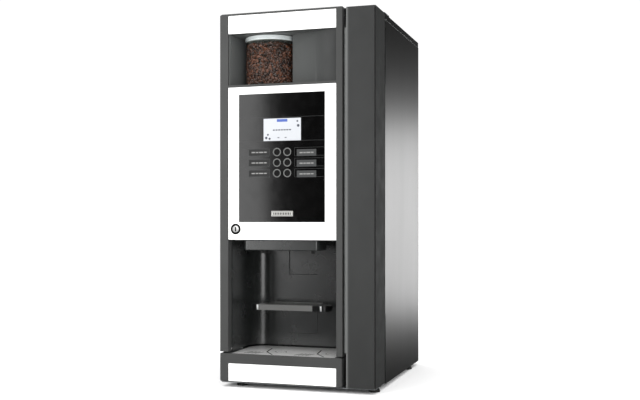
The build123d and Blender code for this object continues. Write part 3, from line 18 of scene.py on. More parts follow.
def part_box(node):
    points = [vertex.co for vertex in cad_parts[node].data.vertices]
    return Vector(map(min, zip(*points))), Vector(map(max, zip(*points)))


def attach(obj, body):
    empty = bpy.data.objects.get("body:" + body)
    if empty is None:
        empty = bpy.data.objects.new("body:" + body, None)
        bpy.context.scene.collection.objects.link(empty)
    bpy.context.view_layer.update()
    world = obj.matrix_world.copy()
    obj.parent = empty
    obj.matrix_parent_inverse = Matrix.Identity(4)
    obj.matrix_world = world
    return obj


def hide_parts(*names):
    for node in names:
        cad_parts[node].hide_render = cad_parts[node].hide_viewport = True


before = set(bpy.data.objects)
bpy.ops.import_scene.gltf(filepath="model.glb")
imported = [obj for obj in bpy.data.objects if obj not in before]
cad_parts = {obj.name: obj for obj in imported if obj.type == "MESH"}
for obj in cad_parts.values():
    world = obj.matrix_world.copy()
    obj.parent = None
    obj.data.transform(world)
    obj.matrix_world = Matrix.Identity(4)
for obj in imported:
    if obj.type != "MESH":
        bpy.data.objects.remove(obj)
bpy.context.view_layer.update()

LOG = logging.getLogger("coffee_machine")
MM = 0.001
Color = tuple[float, float, float]
Span = tuple[float, float]


class Facing(Enum):
    """Way that a small repeated part points, as the turn from +Z in degrees about X, Y and Z."""

    FRONT = (90.0, 0.0, 0.0)
    BACK = (-90.0, 0.0, 0.0)

    def turn(self) -> Matrix:
        """Returns the turn as a 4x4 matrix."""
        x, y, z = (math.radians(v) for v in self.value)
        return Matrix.Rotation(z, 4, "Z") @ Matrix.Rotation(y, 4, "Y") @ Matrix.Rotation(x, 4, "X")


class Brush(Enum):
    """Direction in which a metal is brushed, as the stretch of its scratches along X, Y and Z."""

    ALONG_X = (0.02, 1.0, 1.0)
    ALONG_Z = (1.0, 1.0, 0.02)


class NodeGraph:
    """Node tree with short calls for adding and joining its nodes."""

    tree: bpy.types.NodeTree

    def add(self, kind: str, **settings: object) -> bpy.types.Node:
        """Adds a node of a type, sets its properties by name and returns it.

        Args:
            kind: Blender's node type.
            settings: Node properties by name.

        Returns:
            The new node.
        """
        node = self.tree.nodes.new(kind)
        for key, value in settings.items():
            setattr(node, key, value)
        return node

    def link(self, source: bpy.types.NodeSocket, target: bpy.types.NodeSocket) -> None:
        """Joins an output to an input."""
        self.tree.links.new(source, target)


# ---------------------------------------------------------------- materials
class Graph(NodeGraph):
    """Shader graph of one material, with short calls for the nodes that the finishes share."""

    def __init__(self, name: str) -> None:
        """Starts a material.

        Args:
            name: Name of the material.
        """
        self.material = bpy.data.materials.new(name)
        self.material.use_nodes = True
        self.tree = self.material.node_tree
        self.shader = self.tree.nodes["Principled BSDF"]
        self.place = self.add("ShaderNodeTexCoord").outputs["Object"]

    def fix(self, **values: object) -> None:
        """Sets constants on the shader's own sockets; an underscore in a name is a space.

        Args:
            values: Constant of each socket, by the socket's name.
        """
        for key, value in values.items():
            socket = self.shader.inputs[key.replace("_", " ")]
            socket.default_value = (*value, 1.0) if isinstance(value, tuple) else value

    def stretched(self, stretch: Sequence[float]) -> bpy.types.NodeSocket:
        """Returns object coordinates scaled by a factor along each axis.

        Args:
            stretch: Factor along X, Y and Z.

        Returns:
            The scaled coordinates.
        """
        mapping = self.add("ShaderNodeMapping")
        mapping.inputs["Scale"].default_value = stretch
        self.link(self.place, mapping.inputs["Vector"])
        return mapping.outputs["Vector"]

    def noise(self, size: float, detail: float = 2.0, stretch: Sequence[float] = (1, 1, 1)) -> bpy.types.NodeSocket:
        """Adds a noise pattern.

        Args:
            size: Size of its cells in metres.
            detail: Octaves of finer detail.
            stretch: Factor along each axis; a small one draws the pattern out.

        Returns:
            The pattern's value output, 0 to 1.
        """
        node = self.add("ShaderNodeTexNoise")
        node.inputs["Scale"].default_value = 1.0 / size
        node.inputs["Detail"].default_value = detail
        self.link(self.stretched(stretch), node.inputs["Vector"])
        return node.outputs["Fac"]

    def cells(self, size: float, output: str = "Distance") -> bpy.types.NodeSocket:
        """Returns one output of a cell pattern with cells of the given size in metres.

        Args:
            size: Size of the cells in metres.
            output: Which output of the pattern.

        Returns:
            The pattern's output.
        """
        node = self.add("ShaderNodeTexVoronoi")
        node.inputs["Scale"].default_value = 1.0 / size
        self.link(self.place, node.inputs["Vector"])
        return node.outputs[output]

    def spread(
        self, value: bpy.types.NodeSocket, low: float, high: float, start: float = 0.3, end: float = 0.7
    ) -> bpy.types.NodeSocket:
        """Maps the part of a pattern between start and end onto low to high.

        Args:
            value: The pattern.
            low: Result at the start.
            high: Result at the end.
            start: Value that the range starts at.
            end: Value that it ends at.

        Returns:
            The mapped value.
        """
        node = self.add("ShaderNodeMapRange")
        self.link(value, node.inputs["Value"])
        for key, number in (("From Min", start), ("From Max", end), ("To Min", low), ("To Max", high)):
            node.inputs[key].default_value = number
        return node.outputs["Result"]

    def blend(self, factor: bpy.types.NodeSocket, first: Color, second: Color) -> bpy.types.NodeSocket:
        """Returns a colour between two, by a factor.

        Args:
            factor: 0 for the first colour, 1 for the second.
            first: First colour.
            second: Second colour.

        Returns:
            The blended colour.
        """
        node = self.add("ShaderNodeMix", data_type="RGBA")
        self.link(factor, node.inputs["Factor"])
        node.inputs[6].default_value = (*first, 1.0)
        node.inputs[7].default_value = (*second, 1.0)
        return node.outputs[2]

    def color(self, source: bpy.types.NodeSocket) -> None:
        """Uses a colour output as the base colour."""
        self.link(source, self.shader.inputs["Base Color"])

    def rough(self, source: bpy.types.NodeSocket) -> None:
        """Uses a value output as the roughness."""
        self.link(source, self.shader.inputs["Roughness"])

    def bump(self, height: bpy.types.NodeSocket, depth: float, strength: float = 1.0) -> None:
        """Adds relief under what the normal input has already.

        Args:
            height: Pattern, 0 to 1.
            depth: Height of the relief in metres.
            strength: Share of it that is used.
        """
        node = self.add("ShaderNodeBump")
        node.inputs["Distance"].default_value = depth
        node.inputs["Strength"].default_value = strength
        self.link(height, node.inputs["Height"])
        normal = self.shader.inputs["Normal"]
        if normal.is_linked:
            self.link(normal.links[0].from_socket, node.inputs["Normal"])
        self.link(node.outputs["Normal"], normal)


def shade(color: Color, factor: float) -> Color:
    """Returns a colour made darker or lighter by a factor."""
    return (color[0] * factor, color[1] * factor, color[2] * factor)


@dataclass(frozen=True)
class Finish:
    """A finish: its name, its colour and its mean roughness."""

    name: str
    color: Color
    roughness: float = 0.5

    def make(self) -> bpy.types.Material:
        """Returns the finished material.

        Returns:
            The material.
        """
        graph = Graph(self.name)
        graph.fix(Base_Color=self.color, Roughness=self.roughness)
        self.dress(graph)
        return graph.material

    def dress(self, graph: Graph) -> None:
        """Adds the finish's own detail to the graph."""
        graph.rough(graph.spread(graph.noise(0.02), self.roughness * 0.9, self.roughness * 1.1))


@dataclass(frozen=True)
class MouldedPlastic(Finish):
    """Moulded plastic with a fine leather grain, faint flow marks and handling smudges."""

    grain: float = 0.0006
    relief: float = 0.00003
    specular: float = 0.5

    def dress(self, graph: Graph) -> None:
        """Adds grain, flow marks and smudges.

        Args:
            graph: Shader graph of the material.
        """
        graph.fix(Specular_IOR_Level=self.specular, Sheen_Weight=0.02, Sheen_Roughness=0.5)
        flow = graph.noise(0.16, 3.0, (1.0, 1.0, 0.35))
        graph.color(graph.blend(graph.spread(flow, 0, 1), shade(self.color, 0.9), shade(self.color, 1.12)))
        smudge = graph.noise(0.045, 5.0)
        graph.rough(graph.spread(smudge, self.roughness * 0.86, self.roughness * 1.12))
        graph.bump(graph.cells(self.grain), self.relief, 0.5)
        graph.bump(graph.noise(self.grain * 3, 3.0), self.relief, 0.4)


@dataclass(frozen=True)
class PaintedShadePlastic(MouldedPlastic):
    """Moulded plastic with painted light and shade: its colour falls off along X, from its own tone to a darker one.
    """

    shade_span: Span = (0.0, 1.0)
    dark: float = 0.12

    def dress(self, graph: Graph) -> None:
        """Adds the moulded plastic's detail and the painted fall from light to shade along X.

        Args:
            graph: Shader graph of the material.
        """
        super().dress(graph)
        # Painted shade: the tone darkens along X to stand in for light falling off, not for a change in the plastic.
        split = graph.add("ShaderNodeSeparateXYZ")
        graph.link(graph.place, split.inputs["Vector"])
        along = graph.spread(split.outputs["X"], 0, 1, *self.shade_span)
        graph.color(graph.blend(along, self.color, shade(self.color, self.dark)))


@dataclass(frozen=True)
class PowderCoat(Finish):
    """Baked powder coat: orange peel, tiny flecks and a thin clear top layer."""

    coat: float = 0.3
    coat_roughness: float = 0.3
    specular: float = 0.5
    peel: float = 0.0022

    def dress(self, graph: Graph) -> None:
        """Adds orange peel, flecks and wiped streaks.

        Args:
            graph: Shader graph of the material.
        """
        graph.fix(Coat_Weight=self.coat, Coat_Roughness=self.coat_roughness, Specular_IOR_Level=self.specular)
        fleck = graph.spread(graph.cells(0.0014, "Distance"), 1, 0, 0.0, 0.25)
        graph.color(graph.blend(fleck, self.color, shade(self.color, 1.3)))
        wiped = graph.noise(0.08, 4.0, (1.0, 1.0, 0.15))
        graph.rough(graph.spread(wiped, self.roughness * 0.96, self.roughness * 1.04))
        graph.bump(graph.noise(self.peel, 1.0), 0.00002, 0.5)


@dataclass(frozen=True)
class WhitePanel(Finish):
    """Smooth white panel with a faint painted glow."""

    glow: float = 0.12

    def dress(self, graph: Graph) -> None:
        """Adds faint clouding, soft waviness and the painted glow.

        Args:
            graph: Shader graph of the material.
        """
        # The emission is a painted glow that lifts the panel above the light the lamps give it.
        graph.fix(Emission_Color=(1.0, 1.0, 0.985), Emission_Strength=self.glow, Coat_Weight=0.25, Coat_Roughness=0.1)
        graph.color(graph.blend(graph.noise(0.06, 2.0), shade(self.color, 0.98), self.color))
        graph.rough(graph.spread(graph.noise(0.03, 4.0), self.roughness * 0.85, self.roughness * 1.15))
        graph.bump(graph.noise(0.09, 1.0), 0.00006, 0.3)


@dataclass(frozen=True)
class PrintedGlass(Finish):
    """Glass printed black on its back: a clear glossy sheet with faint finger marks."""

    def dress(self, graph: Graph) -> None:
        """Adds finger marks and the float's slight waviness.

        Args:
            graph: Shader graph of the material.
        """
        graph.fix(IOR=1.5, Coat_Weight=0.05, Coat_Roughness=0.08)
        marks = graph.spread(graph.noise(0.018, 6.0), 0, 1, 0.45, 0.75)
        graph.color(graph.blend(marks, self.color, shade(self.color, 1.5)))
        graph.rough(graph.spread(marks, self.roughness, self.roughness * 1.35, 0.0, 1.0))
        graph.bump(graph.noise(0.12, 1.0), 0.00005, 0.25)


@dataclass(frozen=True)
class LitScreen(Finish):
    """Lit liquid crystal screen with a cool falloff towards its rim."""

    glow: float = 0.75
    low: float = 0.0
    high: float = 1.0

    def dress(self, graph: Graph) -> None:
        """Adds the upward gradient and the backlight's unevenness.

        Args:
            graph: Shader graph of the material.
        """
        split = graph.add("ShaderNodeSeparateXYZ")
        graph.link(graph.place, split.inputs["Vector"])
        rise = graph.spread(split.outputs["Z"], 0, 1, self.low, self.high)
        tint = graph.blend(rise, shade(self.color, 0.92), (0.34, 0.35, 0.37))
        graph.color(tint)
        graph.link(tint, graph.shader.inputs["Emission Color"])
        graph.fix(Emission_Strength=self.glow)
        graph.rough(graph.spread(graph.noise(0.02, 3.0), 0.12, 0.2))


@dataclass(frozen=True)
class BrushedMetal(Finish):
    """Brushed or rolled metal with scratches along one direction."""

    brush: Brush = Brush.ALONG_X
    scratch: float = 0.0012
    metallic: float = 1.0

    def dress(self, graph: Graph) -> None:
        """Adds scratches, their gloss and faint stains.

        Args:
            graph: Shader graph of the material.
        """
        graph.fix(Metallic=self.metallic, Anisotropic=0.35)
        lines = graph.noise(self.scratch, 6.0, self.brush.value)
        stain = graph.noise(0.05, 3.0)
        graph.color(graph.blend(graph.spread(stain, 0, 1), shade(self.color, 0.88), self.color))
        graph.rough(graph.spread(lines, self.roughness * 0.75, self.roughness * 1.3))
        graph.bump(lines, 0.00002, 0.35)


@dataclass(frozen=True)
class Galvanised(Finish):
    """Zinc coated sheet with its frosted spangle."""

    spangle: float = 0.009

    def dress(self, graph: Graph) -> None:
        """Adds spangle in colour and gloss.

        Args:
            graph: Shader graph of the material.
        """
        graph.fix(Metallic=0.9)
        flake = graph.add("ShaderNodeSeparateColor")
        graph.link(graph.cells(self.spangle, "Color"), flake.inputs["Color"])
        tone = graph.spread(flake.outputs["Red"], 0, 1, 0.0, 1.0)
        graph.color(graph.blend(tone, shade(self.color, 0.8), shade(self.color, 1.1)))
        graph.rough(graph.spread(flake.outputs["Green"], self.roughness * 0.8, self.roughness * 1.2, 0.0, 1.0))
        graph.bump(graph.noise(0.004, 4.0), 0.00003, 0.3)


@dataclass(frozen=True)
class CastMetal(Finish):
    """Sand-cast or die-cast metal with a pebbled skin."""

    pebble: float = 0.0018

    def dress(self, graph: Graph) -> None:
        """Adds the pebbled skin and its dull patches.

        Args:
            graph: Shader graph of the material.
        """
        graph.fix(Metallic=1.0)
        skin = graph.noise(self.pebble, 5.0)
        graph.color(graph.blend(graph.spread(skin, 0, 1), shade(self.color, 0.75), self.color))
        graph.rough(graph.spread(graph.noise(0.02, 3.0), self.roughness * 0.85, self.roughness * 1.2))
        graph.bump(skin, 0.00012, 0.5)


@dataclass(frozen=True)
class ClearPlastic(Finish):
    """Clear moulded plastic, slightly hazed by use."""

    haze: float = 0.06
    body: float = 0.012
    rim: float = 0.36

    def dress(self, graph: Graph) -> None:
        """Adds haze, coffee dust and scuffs, and the denser look of a wall seen along itself.

        Args:
            graph: Shader graph of the material.
        """
        graph.fix(IOR=1.46, Coat_Weight=0.2, Coat_Roughness=0.05)
        edge = graph.add("ShaderNodeLayerWeight")
        edge.inputs["Blend"].default_value = 0.25
        graph.link(graph.spread(edge.outputs["Facing"], self.body, self.rim, 0.55, 1.0), graph.shader.inputs["Alpha"])
        scuff = graph.noise(0.006, 6.0, (1.0, 1.0, 0.2))
        graph.rough(graph.spread(scuff, self.haze, self.haze * 2.5))
        dust = graph.spread(graph.noise(0.03, 5.0), 0, 1, 0.4, 0.8)
        graph.color(graph.blend(dust, self.color, shade(self.color, 0.93)))
        graph.bump(graph.noise(0.05, 1.0), 0.0001, 0.2)


@dataclass(frozen=True)
class RoastedBean(Finish):
    """Oily dark roast; each bean has its own tone, stored on its points."""

    light: Color = (0.105, 0.034, 0.014)

    def dress(self, graph: Graph) -> None:
        """Adds the tone of each bean, its wrinkles and its oil.

        Args:
            graph: Shader graph of the material.
        """
        tone = graph.add("ShaderNodeAttribute", attribute_name="tone")
        mottle = graph.add("ShaderNodeMath", operation="MULTIPLY_ADD")
        graph.link(graph.noise(0.0016, 4.0), mottle.inputs[0])
        mottle.inputs[1].default_value = 0.45
        graph.link(tone.outputs["Fac"], mottle.inputs[2])
        graph.color(graph.blend(graph.spread(mottle.outputs[0], 0, 1, 0.1, 1.2), self.color, self.light))
        graph.fix(Coat_Weight=0.55, Coat_Roughness=0.24, Specular_IOR_Level=0.35)
        graph.rough(graph.spread(graph.noise(0.004, 4.0), self.roughness * 0.7, self.roughness * 1.3))
        graph.bump(graph.noise(0.0009, 4.0), 0.0002, 0.5)


@dataclass(frozen=True)
class CircuitBoard(Finish):
    """Green solder mask over copper tracks."""

    def dress(self, graph: Graph) -> None:
        """Adds tracks in colour and relief.

        Args:
            graph: Shader graph of the material.
        """
        tracks = graph.spread(graph.cells(0.006), 0, 1, 0.28, 0.32)
        graph.color(graph.blend(tracks, self.color, shade(self.color, 1.9)))
        graph.rough(graph.spread(tracks, self.roughness, self.roughness * 0.7, 0.0, 1.0))
        graph.bump(tracks, 0.00008, 0.5)


class Finishes:
    """Every material of the machine, made once and looked up by the name of its slot."""

    def __init__(self) -> None:
        """Makes all materials."""
        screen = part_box("display_module")
        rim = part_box("column_cover")[0].x
        # Span along X of the painted highlight on the column's bead.
        bead = (rim + 0.003, rim + 0.0115)
        # Span along X of the window liner's painted shade, from the canister to the frame.
        window = (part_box("bean_canister")[1].x - 0.01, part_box("window_liner")[1].x + 0.005)
        self.by_slot = {
            finish.name: finish.make()
            for finish in (
                MouldedPlastic("dark_frame_plastic", (0.044, 0.045, 0.044), 0.45, 0.0007, 0.00001, 0.35),
                MouldedPlastic("column_plastic", (0.026, 0.027, 0.0265), 0.36, 0.0007, 0.00001, 0.6),
                MouldedPlastic("column_side_plastic", (0.017, 0.018, 0.0175), 0.7, 0.0007, 0.00001, 0.1),
                MouldedPlastic("dark_liner_plastic", (0.013, 0.0145, 0.014), 0.26, 0.0009, 0.000003, 1.0),
                # Window liner: painted light by the canister, falling off to painted shade towards the frame.
                PaintedShadePlastic("window_painted_shade", (0.105, 0.110, 0.108), 0.4, 0.0009, 0.000003, 0.3, window),
                # The shelf's grey is a painted reflection on what is glossy black plastic.
                MouldedPlastic("shelf_plastic", (0.085, 0.085, 0.082), 0.40, 0.0006, 0.00001),
                MouldedPlastic("black_plastic", (0.012, 0.012, 0.012), 0.5, 0.0008),
                MouldedPlastic("black_gloss", (0.003, 0.003, 0.003), 0.22, 0.0012, 0.00001, 0.35),
                MouldedPlastic("button_plastic", (0.005, 0.005, 0.005), 0.5, 0.0004, 0.00001, 0.15),
                MouldedPlastic("grey_lid_plastic", (0.60, 0.64, 0.64), 0.32, 0.0009),
                MouldedPlastic("natural_plastic", (0.74, 0.73, 0.68), 0.42, 0.001),
                MouldedPlastic("rubber", (0.018, 0.018, 0.018), 0.75, 0.0012, 0.00008, 0.3),
                MouldedPlastic("label_film", (0.034, 0.036, 0.036), 0.45, 0.0005, 0.00001),
                PowderCoat("dark_cabinet_paint", (0.0035, 0.0036, 0.0036), 0.40),
                PowderCoat("dark_shell_paint", (0.035, 0.035, 0.034), 0.42),
                # The white and opal panels carry a painted glow.
                WhitePanel("white_panel", (0.93, 0.93, 0.92), 0.28),
                WhitePanel("opal_panel", (0.94, 0.94, 0.93), 0.24, 0.3),
                PrintedGlass("black_glass", (0.0012, 0.0012, 0.0012), 0.10),
                LitScreen("display_screen", (0.32, 0.33, 0.34), 0.2, 0.85, screen[0].z, screen[1].z),
                BrushedMetal("stainless", (0.78, 0.78, 0.77), 0.36, Brush.ALONG_X, metallic=0.35),
                BrushedMetal("chrome_trim", (0.66, 0.67, 0.67), 0.28, Brush.ALONG_X, 0.0006, 0.6),
                BrushedMetal("lock_steel", (0.86, 0.86, 0.85), 0.34, Brush.ALONG_Z, 0.0008, 0.55),
                BrushedMetal("brass", (0.62, 0.43, 0.18), 0.3, Brush.ALONG_Z),
                Galvanised("galvanised", (0.52, 0.54, 0.55), 0.42),
                CastMetal("cast_aluminium", (0.56, 0.57, 0.58), 0.45),
                ClearPlastic("clear_plastic", (0.42, 0.46, 0.44)),
                RoastedBean("roasted_beans", (0.008, 0.0028, 0.0013), 0.38),
                CircuitBoard("circuit_board", (0.02, 0.13, 0.06), 0.4),
                Finish("dim_ink", (0.22, 0.22, 0.215), 0.5),
                Finish("screen_blue", (0.05, 0.10, 0.36), 0.3),
                Finish("screen_ink", (0.045, 0.05, 0.07), 0.35),
                Finish("badge_plate", (0.42, 0.42, 0.40), 0.4),
                # Dead black, also used for blocks that stand in for the shade in the key slot and the grille's slots.
                MouldedPlastic("slot_black", (0.002, 0.002, 0.002), 0.9, 0.001, 0.0, 0.0),
                ClearPlastic("milky_plastic", (0.60, 0.60, 0.57), 0.4, 0.10, 0.55, 0.85),
                Finish("lid_seal", (0.075, 0.082, 0.070), 0.7),
                # A light grey strip that stands in for the highlight on the top cover's lower edge.
                Finish("cover_edge_painted_highlight", (0.55, 0.56, 0.56), 0.35),
                # Column bead: a painted highlight, light at its rim and falling off across the bead.
                PaintedShadePlastic("column_bead_painted_highlight", (0.185, 0.19, 0.187), 0.4, 0.0007, 0.00001, 0.5, bead, 0.15),
                BrushedMetal("ring_metal", (0.20, 0.205, 0.20), 0.4, Brush.ALONG_X, 0.0006, 0.5),
            )
        }

    def __getitem__(self, slot: str) -> bpy.types.Material:
        """Returns the material of a slot."""
        return self.by_slot[slot]


# ---------------------------------------------------------------- meshes
def new_object(name: str, mesh: bpy.types.Mesh) -> bpy.types.Object:
    """Puts a mesh in the scene, at the origin, and returns its object.

    Args:
        name: Name of the object.
        mesh: Its mesh.

    Returns:
        The new object.
    """
    piece = bpy.data.objects.new(name, mesh)
    bpy.context.scene.collection.objects.link(piece)
    return piece


def to_mesh(name: str, shape: bmesh.types.BMesh, smooth_below: float = 32.0) -> bpy.types.Object:
    """Turns a bmesh into an object, smooth except over edges sharper than an angle in degrees.

    Args:
        name: Name of the object and of its mesh.
        shape: The bmesh, which is freed.
        smooth_below: Angle in degrees from which an edge is sharp.

    Returns:
        The new object.
    """
    limit = math.radians(smooth_below)
    for face in shape.faces:
        face.smooth = True
    for edge in shape.edges:
        edge.smooth = edge.is_manifold and edge.calc_face_angle(0.0) < limit
    mesh = bpy.data.meshes.new(name)
    shape.to_mesh(mesh)
    shape.free()
    return new_object(name, mesh)


def block(shape: bmesh.types.BMesh, x: Span, y: Span, z: Span, soften: float = 0.0) -> None:
    """Adds a box with softened edges to a bmesh.

    Args:
        shape: The bmesh that takes the box.
        x: Low and high X; y and z are alike.
        soften: Width of the softening; 0 leaves the edges sharp.
    """
    centre = Matrix.Translation(((x[0] + x[1]) / 2, (y[0] + y[1]) / 2, (z[0] + z[1]) / 2))
    size = Matrix.Diagonal((x[1] - x[0], y[1] - y[0], z[1] - z[0], 1.0))
    verts = bmesh.ops.create_cube(shape, size=1.0, matrix=centre @ size)["verts"]
    if soften:
        edges = list({edge for vert in verts for edge in vert.link_edges})
        bmesh.ops.bevel(shape, geom=edges, offset=soften, segments=2, profile=0.6, affect="EDGES")


def turned(
    shape: bmesh.types.BMesh, profile: Sequence[Span], centre: Vector, facing: Facing, steps: int = 32
) -> None:
    """Adds a closed turned part to a bmesh.

    Args:
        shape: The bmesh that takes the part.
        profile: Radius and height of each ring, from the first end to the last.
        centre: Where height 0 of its axis lies.
        facing: Way that its axis points.
        steps: Number of points round each ring.
    """
    place = Matrix.Translation(centre) @ facing.turn()
    rings = []
    for radius, height in profile:
        angles = (2 * math.pi * step / steps for step in range(steps))
        ring = [shape.verts.new(place @ Vector((radius * math.cos(a), radius * math.sin(a), height))) for a in angles]
        rings.append(ring)
    for low, high in zip(rings, rings[1:]):
        for step in range(steps):
            after = (step + 1) % steps
            shape.faces.new((low[step], low[after], high[after], high[step]))
    shape.faces.new(reversed(rings[0]))
    shape.faces.new(rings[-1])


def rebuilt(node: str, soften: float = 0.0, name: str | None = None) -> bpy.types.Object:
    """Rebuilds a CAD node as one merged mesh with smooth curves and softened edges.

    Args:
        node: The CAD node.
        soften: Width of the softening on its sharp edges.
        name: Name of the piece; the node's name and _skin without one.

    Returns:
        The new piece, not yet riding on anything.
    """
    shape = bmesh.new()
    shape.from_mesh(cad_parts[node].data)
    bmesh.ops.remove_doubles(shape, verts=shape.verts, dist=2e-6)
    bmesh.ops.dissolve_limit(shape, angle_limit=math.radians(0.4), verts=shape.verts, edges=shape.edges)
    if soften:
        sharp = [e for e in shape.edges if e.is_manifold and e.calc_face_angle(0.0) > math.radians(50)]
        bmesh.ops.bevel(
            shape, geom=sharp, offset=soften, segments=3, profile=0.5, affect="EDGES", clamp_overlap=False
        )
    piece = to_mesh(name or f"{node}_skin", shape)
    weighted = piece.modifiers.new("weighted_normals", "WEIGHTED_NORMAL")
    weighted.keep_sharp = True
    return piece


def sliced(node: str, name: str, cuts: Sequence[tuple[Vector, Vector]]) -> bpy.types.Object:
    """Rebuilds the part of a CAD node behind some planes, closed where it is cut.

    Args:
        node: The CAD node.
        name: Name of the piece.
        cuts: A point of each plane and its normal, which points to the part that is left out.

    Returns:
        The new piece, not yet riding on anything.
    """
    piece = rebuilt(node, 0.0, name)
    shape = bmesh.new()
    shape.from_mesh(piece.data)
    for place, way in cuts:
        geometry = [*shape.verts, *shape.edges, *shape.faces]
        cut = bmesh.ops.bisect_plane(shape, geom=geometry, plane_co=place, plane_no=way, clear_outer=True)
        rim = [e for e in cut["geom_cut"] if isinstance(e, bmesh.types.BMEdge)]
        bmesh.ops.triangle_fill(shape, edges=rim, use_beauty=True, use_dissolve=False)
    bmesh.ops.recalc_face_normals(shape, faces=shape.faces)
    shape.to_mesh(piece.data)
    shape.free()
    return piece


# ---------------------------------------------------------------- geometry nodes
class RuleTree(NodeGraph):
    """Geometry Nodes tree with named inputs, which is turned into a plain mesh."""

    def __init__(self, name: str) -> None:
        """Starts a tree.

        Args:
            name: Name of the tree and of the piece that it makes.
        """
        self.name = name
        self.tree = bpy.data.node_groups.new(name, "GeometryNodeTree")
        self.values: dict[str, object] = {}
        self.tree.interface.new_socket("Geometry", in_out="OUTPUT", socket_type="NodeSocketGeometry")
        self.tree.interface.new_socket("Carrier", in_out="INPUT", socket_type="NodeSocketGeometry")
        self.start = self.add("NodeGroupInput")

    def input(self, name: str, kind: str, value: object) -> bpy.types.NodeSocket:
        """Adds a named input.

        Args:
            name: Name of the input.
            kind: Its type, such as Float or Int.
            value: What the modifier sets it to.

        Returns:
            The input's socket inside the tree.
        """
        item = self.tree.interface.new_socket(name, in_out="INPUT", socket_type=f"NodeSocket{kind}")
        self.values[item.identifier] = value
        return self.start.outputs[name]

    def instance(self, points: bpy.types.NodeSocket, template: bpy.types.Object) -> bpy.types.Node:
        """Instances a template on points and returns the instancing node.

        Args:
            points: Where the copies go.
            template: Object that is copied.

        Returns:
            The instancing node.
        """
        source = self.add("GeometryNodeObjectInfo")
        self.link(self.input("Template", "Object", template), source.inputs["Object"])
        node = self.add("GeometryNodeInstanceOnPoints")
        self.link(points, node.inputs["Points"])
        self.link(source.outputs["Geometry"], node.inputs["Instance"])
        return node

    def bake(
        self, result: bpy.types.NodeSocket, material: bpy.types.Material, carrier: bpy.types.Object
    ) -> bpy.types.Object:
        """Ends the tree, evaluates it and returns its plain mesh.

        Args:
            result: The geometry that the tree makes.
            material: Finish of all of it.
            carrier: Object that carries the modifier; it is removed.

        Returns:
            The finished piece.
        """
        real = self.add("GeometryNodeRealizeInstances")
        paint = self.add("GeometryNodeSetMaterial")
        end = self.add("NodeGroupOutput")
        self.link(result, real.inputs["Geometry"])
        self.link(real.outputs["Geometry"], paint.inputs["Geometry"])
        self.link(self.input("Finish", "Material", material), paint.inputs["Material"])
        self.link(paint.outputs["Geometry"], end.inputs["Geometry"])
        modifier = carrier.modifiers.new(self.name, "NODES")
        modifier.node_group = self.tree
        for identifier, value in self.values.items():
            modifier[identifier] = value
        graph = bpy.context.evaluated_depsgraph_get()
        mesh = bpy.data.meshes.new_from_object(carrier.evaluated_get(graph))
        carrier.modifiers.remove(modifier)
        bpy.data.objects.remove(carrier)
        piece = new_object(self.name, mesh)
        if not mesh.materials:
            mesh.materials.append(material)
        return piece


def scattered(
    name: str, template: bpy.types.Object, places: Sequence[Vector], material: bpy.types.Material
) -> bpy.types.Object:
    """Puts one copy of a template, with Geometry Nodes, on each of the given places.

    Args:
        name: Name of the piece.
        template: Object that is copied; it is removed.
        places: Place of each copy.
        material: Finish of the copies.

    Returns:
        All copies as one plain mesh.
    """
    mesh = bpy.data.meshes.new("places")
    mesh.from_pydata([tuple(place) for place in places], [], [])
    tree = RuleTree(name)
    copies = tree.instance(tree.start.outputs["Carrier"], template)
    piece = tree.bake(copies.outputs["Instances"], material, new_object("places", mesh))
    bpy.data.objects.remove(template)
    return piece


def screw_template(facing: Facing, radius: float) -> bpy.types.Object:
    """Returns a low domed screw head with a hexagon socket, its seat at the origin.

    Args:
        facing: Way that the head points.
        radius: The head's radius.

    Returns:
        The template.
    """
    shape = bmesh.new()
    socket = radius * 0.45
    profile = [
        (radius, 0.0), (radius, radius * 0.18), (radius * 0.86, radius * 0.42), (radius * 0.6, radius * 0.52),
        (socket * 1.1, radius * 0.54), (socket, radius * 0.5), (socket, radius * 0.12),
    ]
    turned(shape, profile, Vector(), facing, 12)
    return to_mesh("screw_template", shape, 40.0)


# ---------------------------------------------------------------- sub-assemblies
@dataclass
class Assembly:
    """What all sub-assemblies share: the finishes, and the names of the pieces that they made."""

    finishes: Finishes
    made: list[str] = field(default_factory=list)

    def keep(self, piece: bpy.types.Object, body: str, slot: str, *replaced: str, finish: str = "") -> None:
        """Dresses a piece, ties it to its body and notes its name.

        Args:
            piece: The piece, in place.
            body: The CAD body that it rides on.
            slot: Its material slot.
            replaced: CAD nodes that it stands for.
            finish: Finish that it has in place of its slot's own.
        """
        if not piece.data.materials:
            piece.data.materials.append(self.finishes[finish or slot])
        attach(piece, body)
        for node in replaced:
            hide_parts(node)
        self.made.append(piece.name)

    def skins(self, body: str, nodes: dict[str, str], soften: float = 0.0) -> None:
        """Rebuilds CAD nodes of one body.

        Args:
            body: The body that they ride on.
            nodes: Slot of each node.
            soften: Width of the softening on their edges.
        """
        for node, slot in nodes.items():
            self.keep(rebuilt(node, soften), body, slot, node)

    def build(self) -> None:
        """Builds the sub-assembly's pieces."""


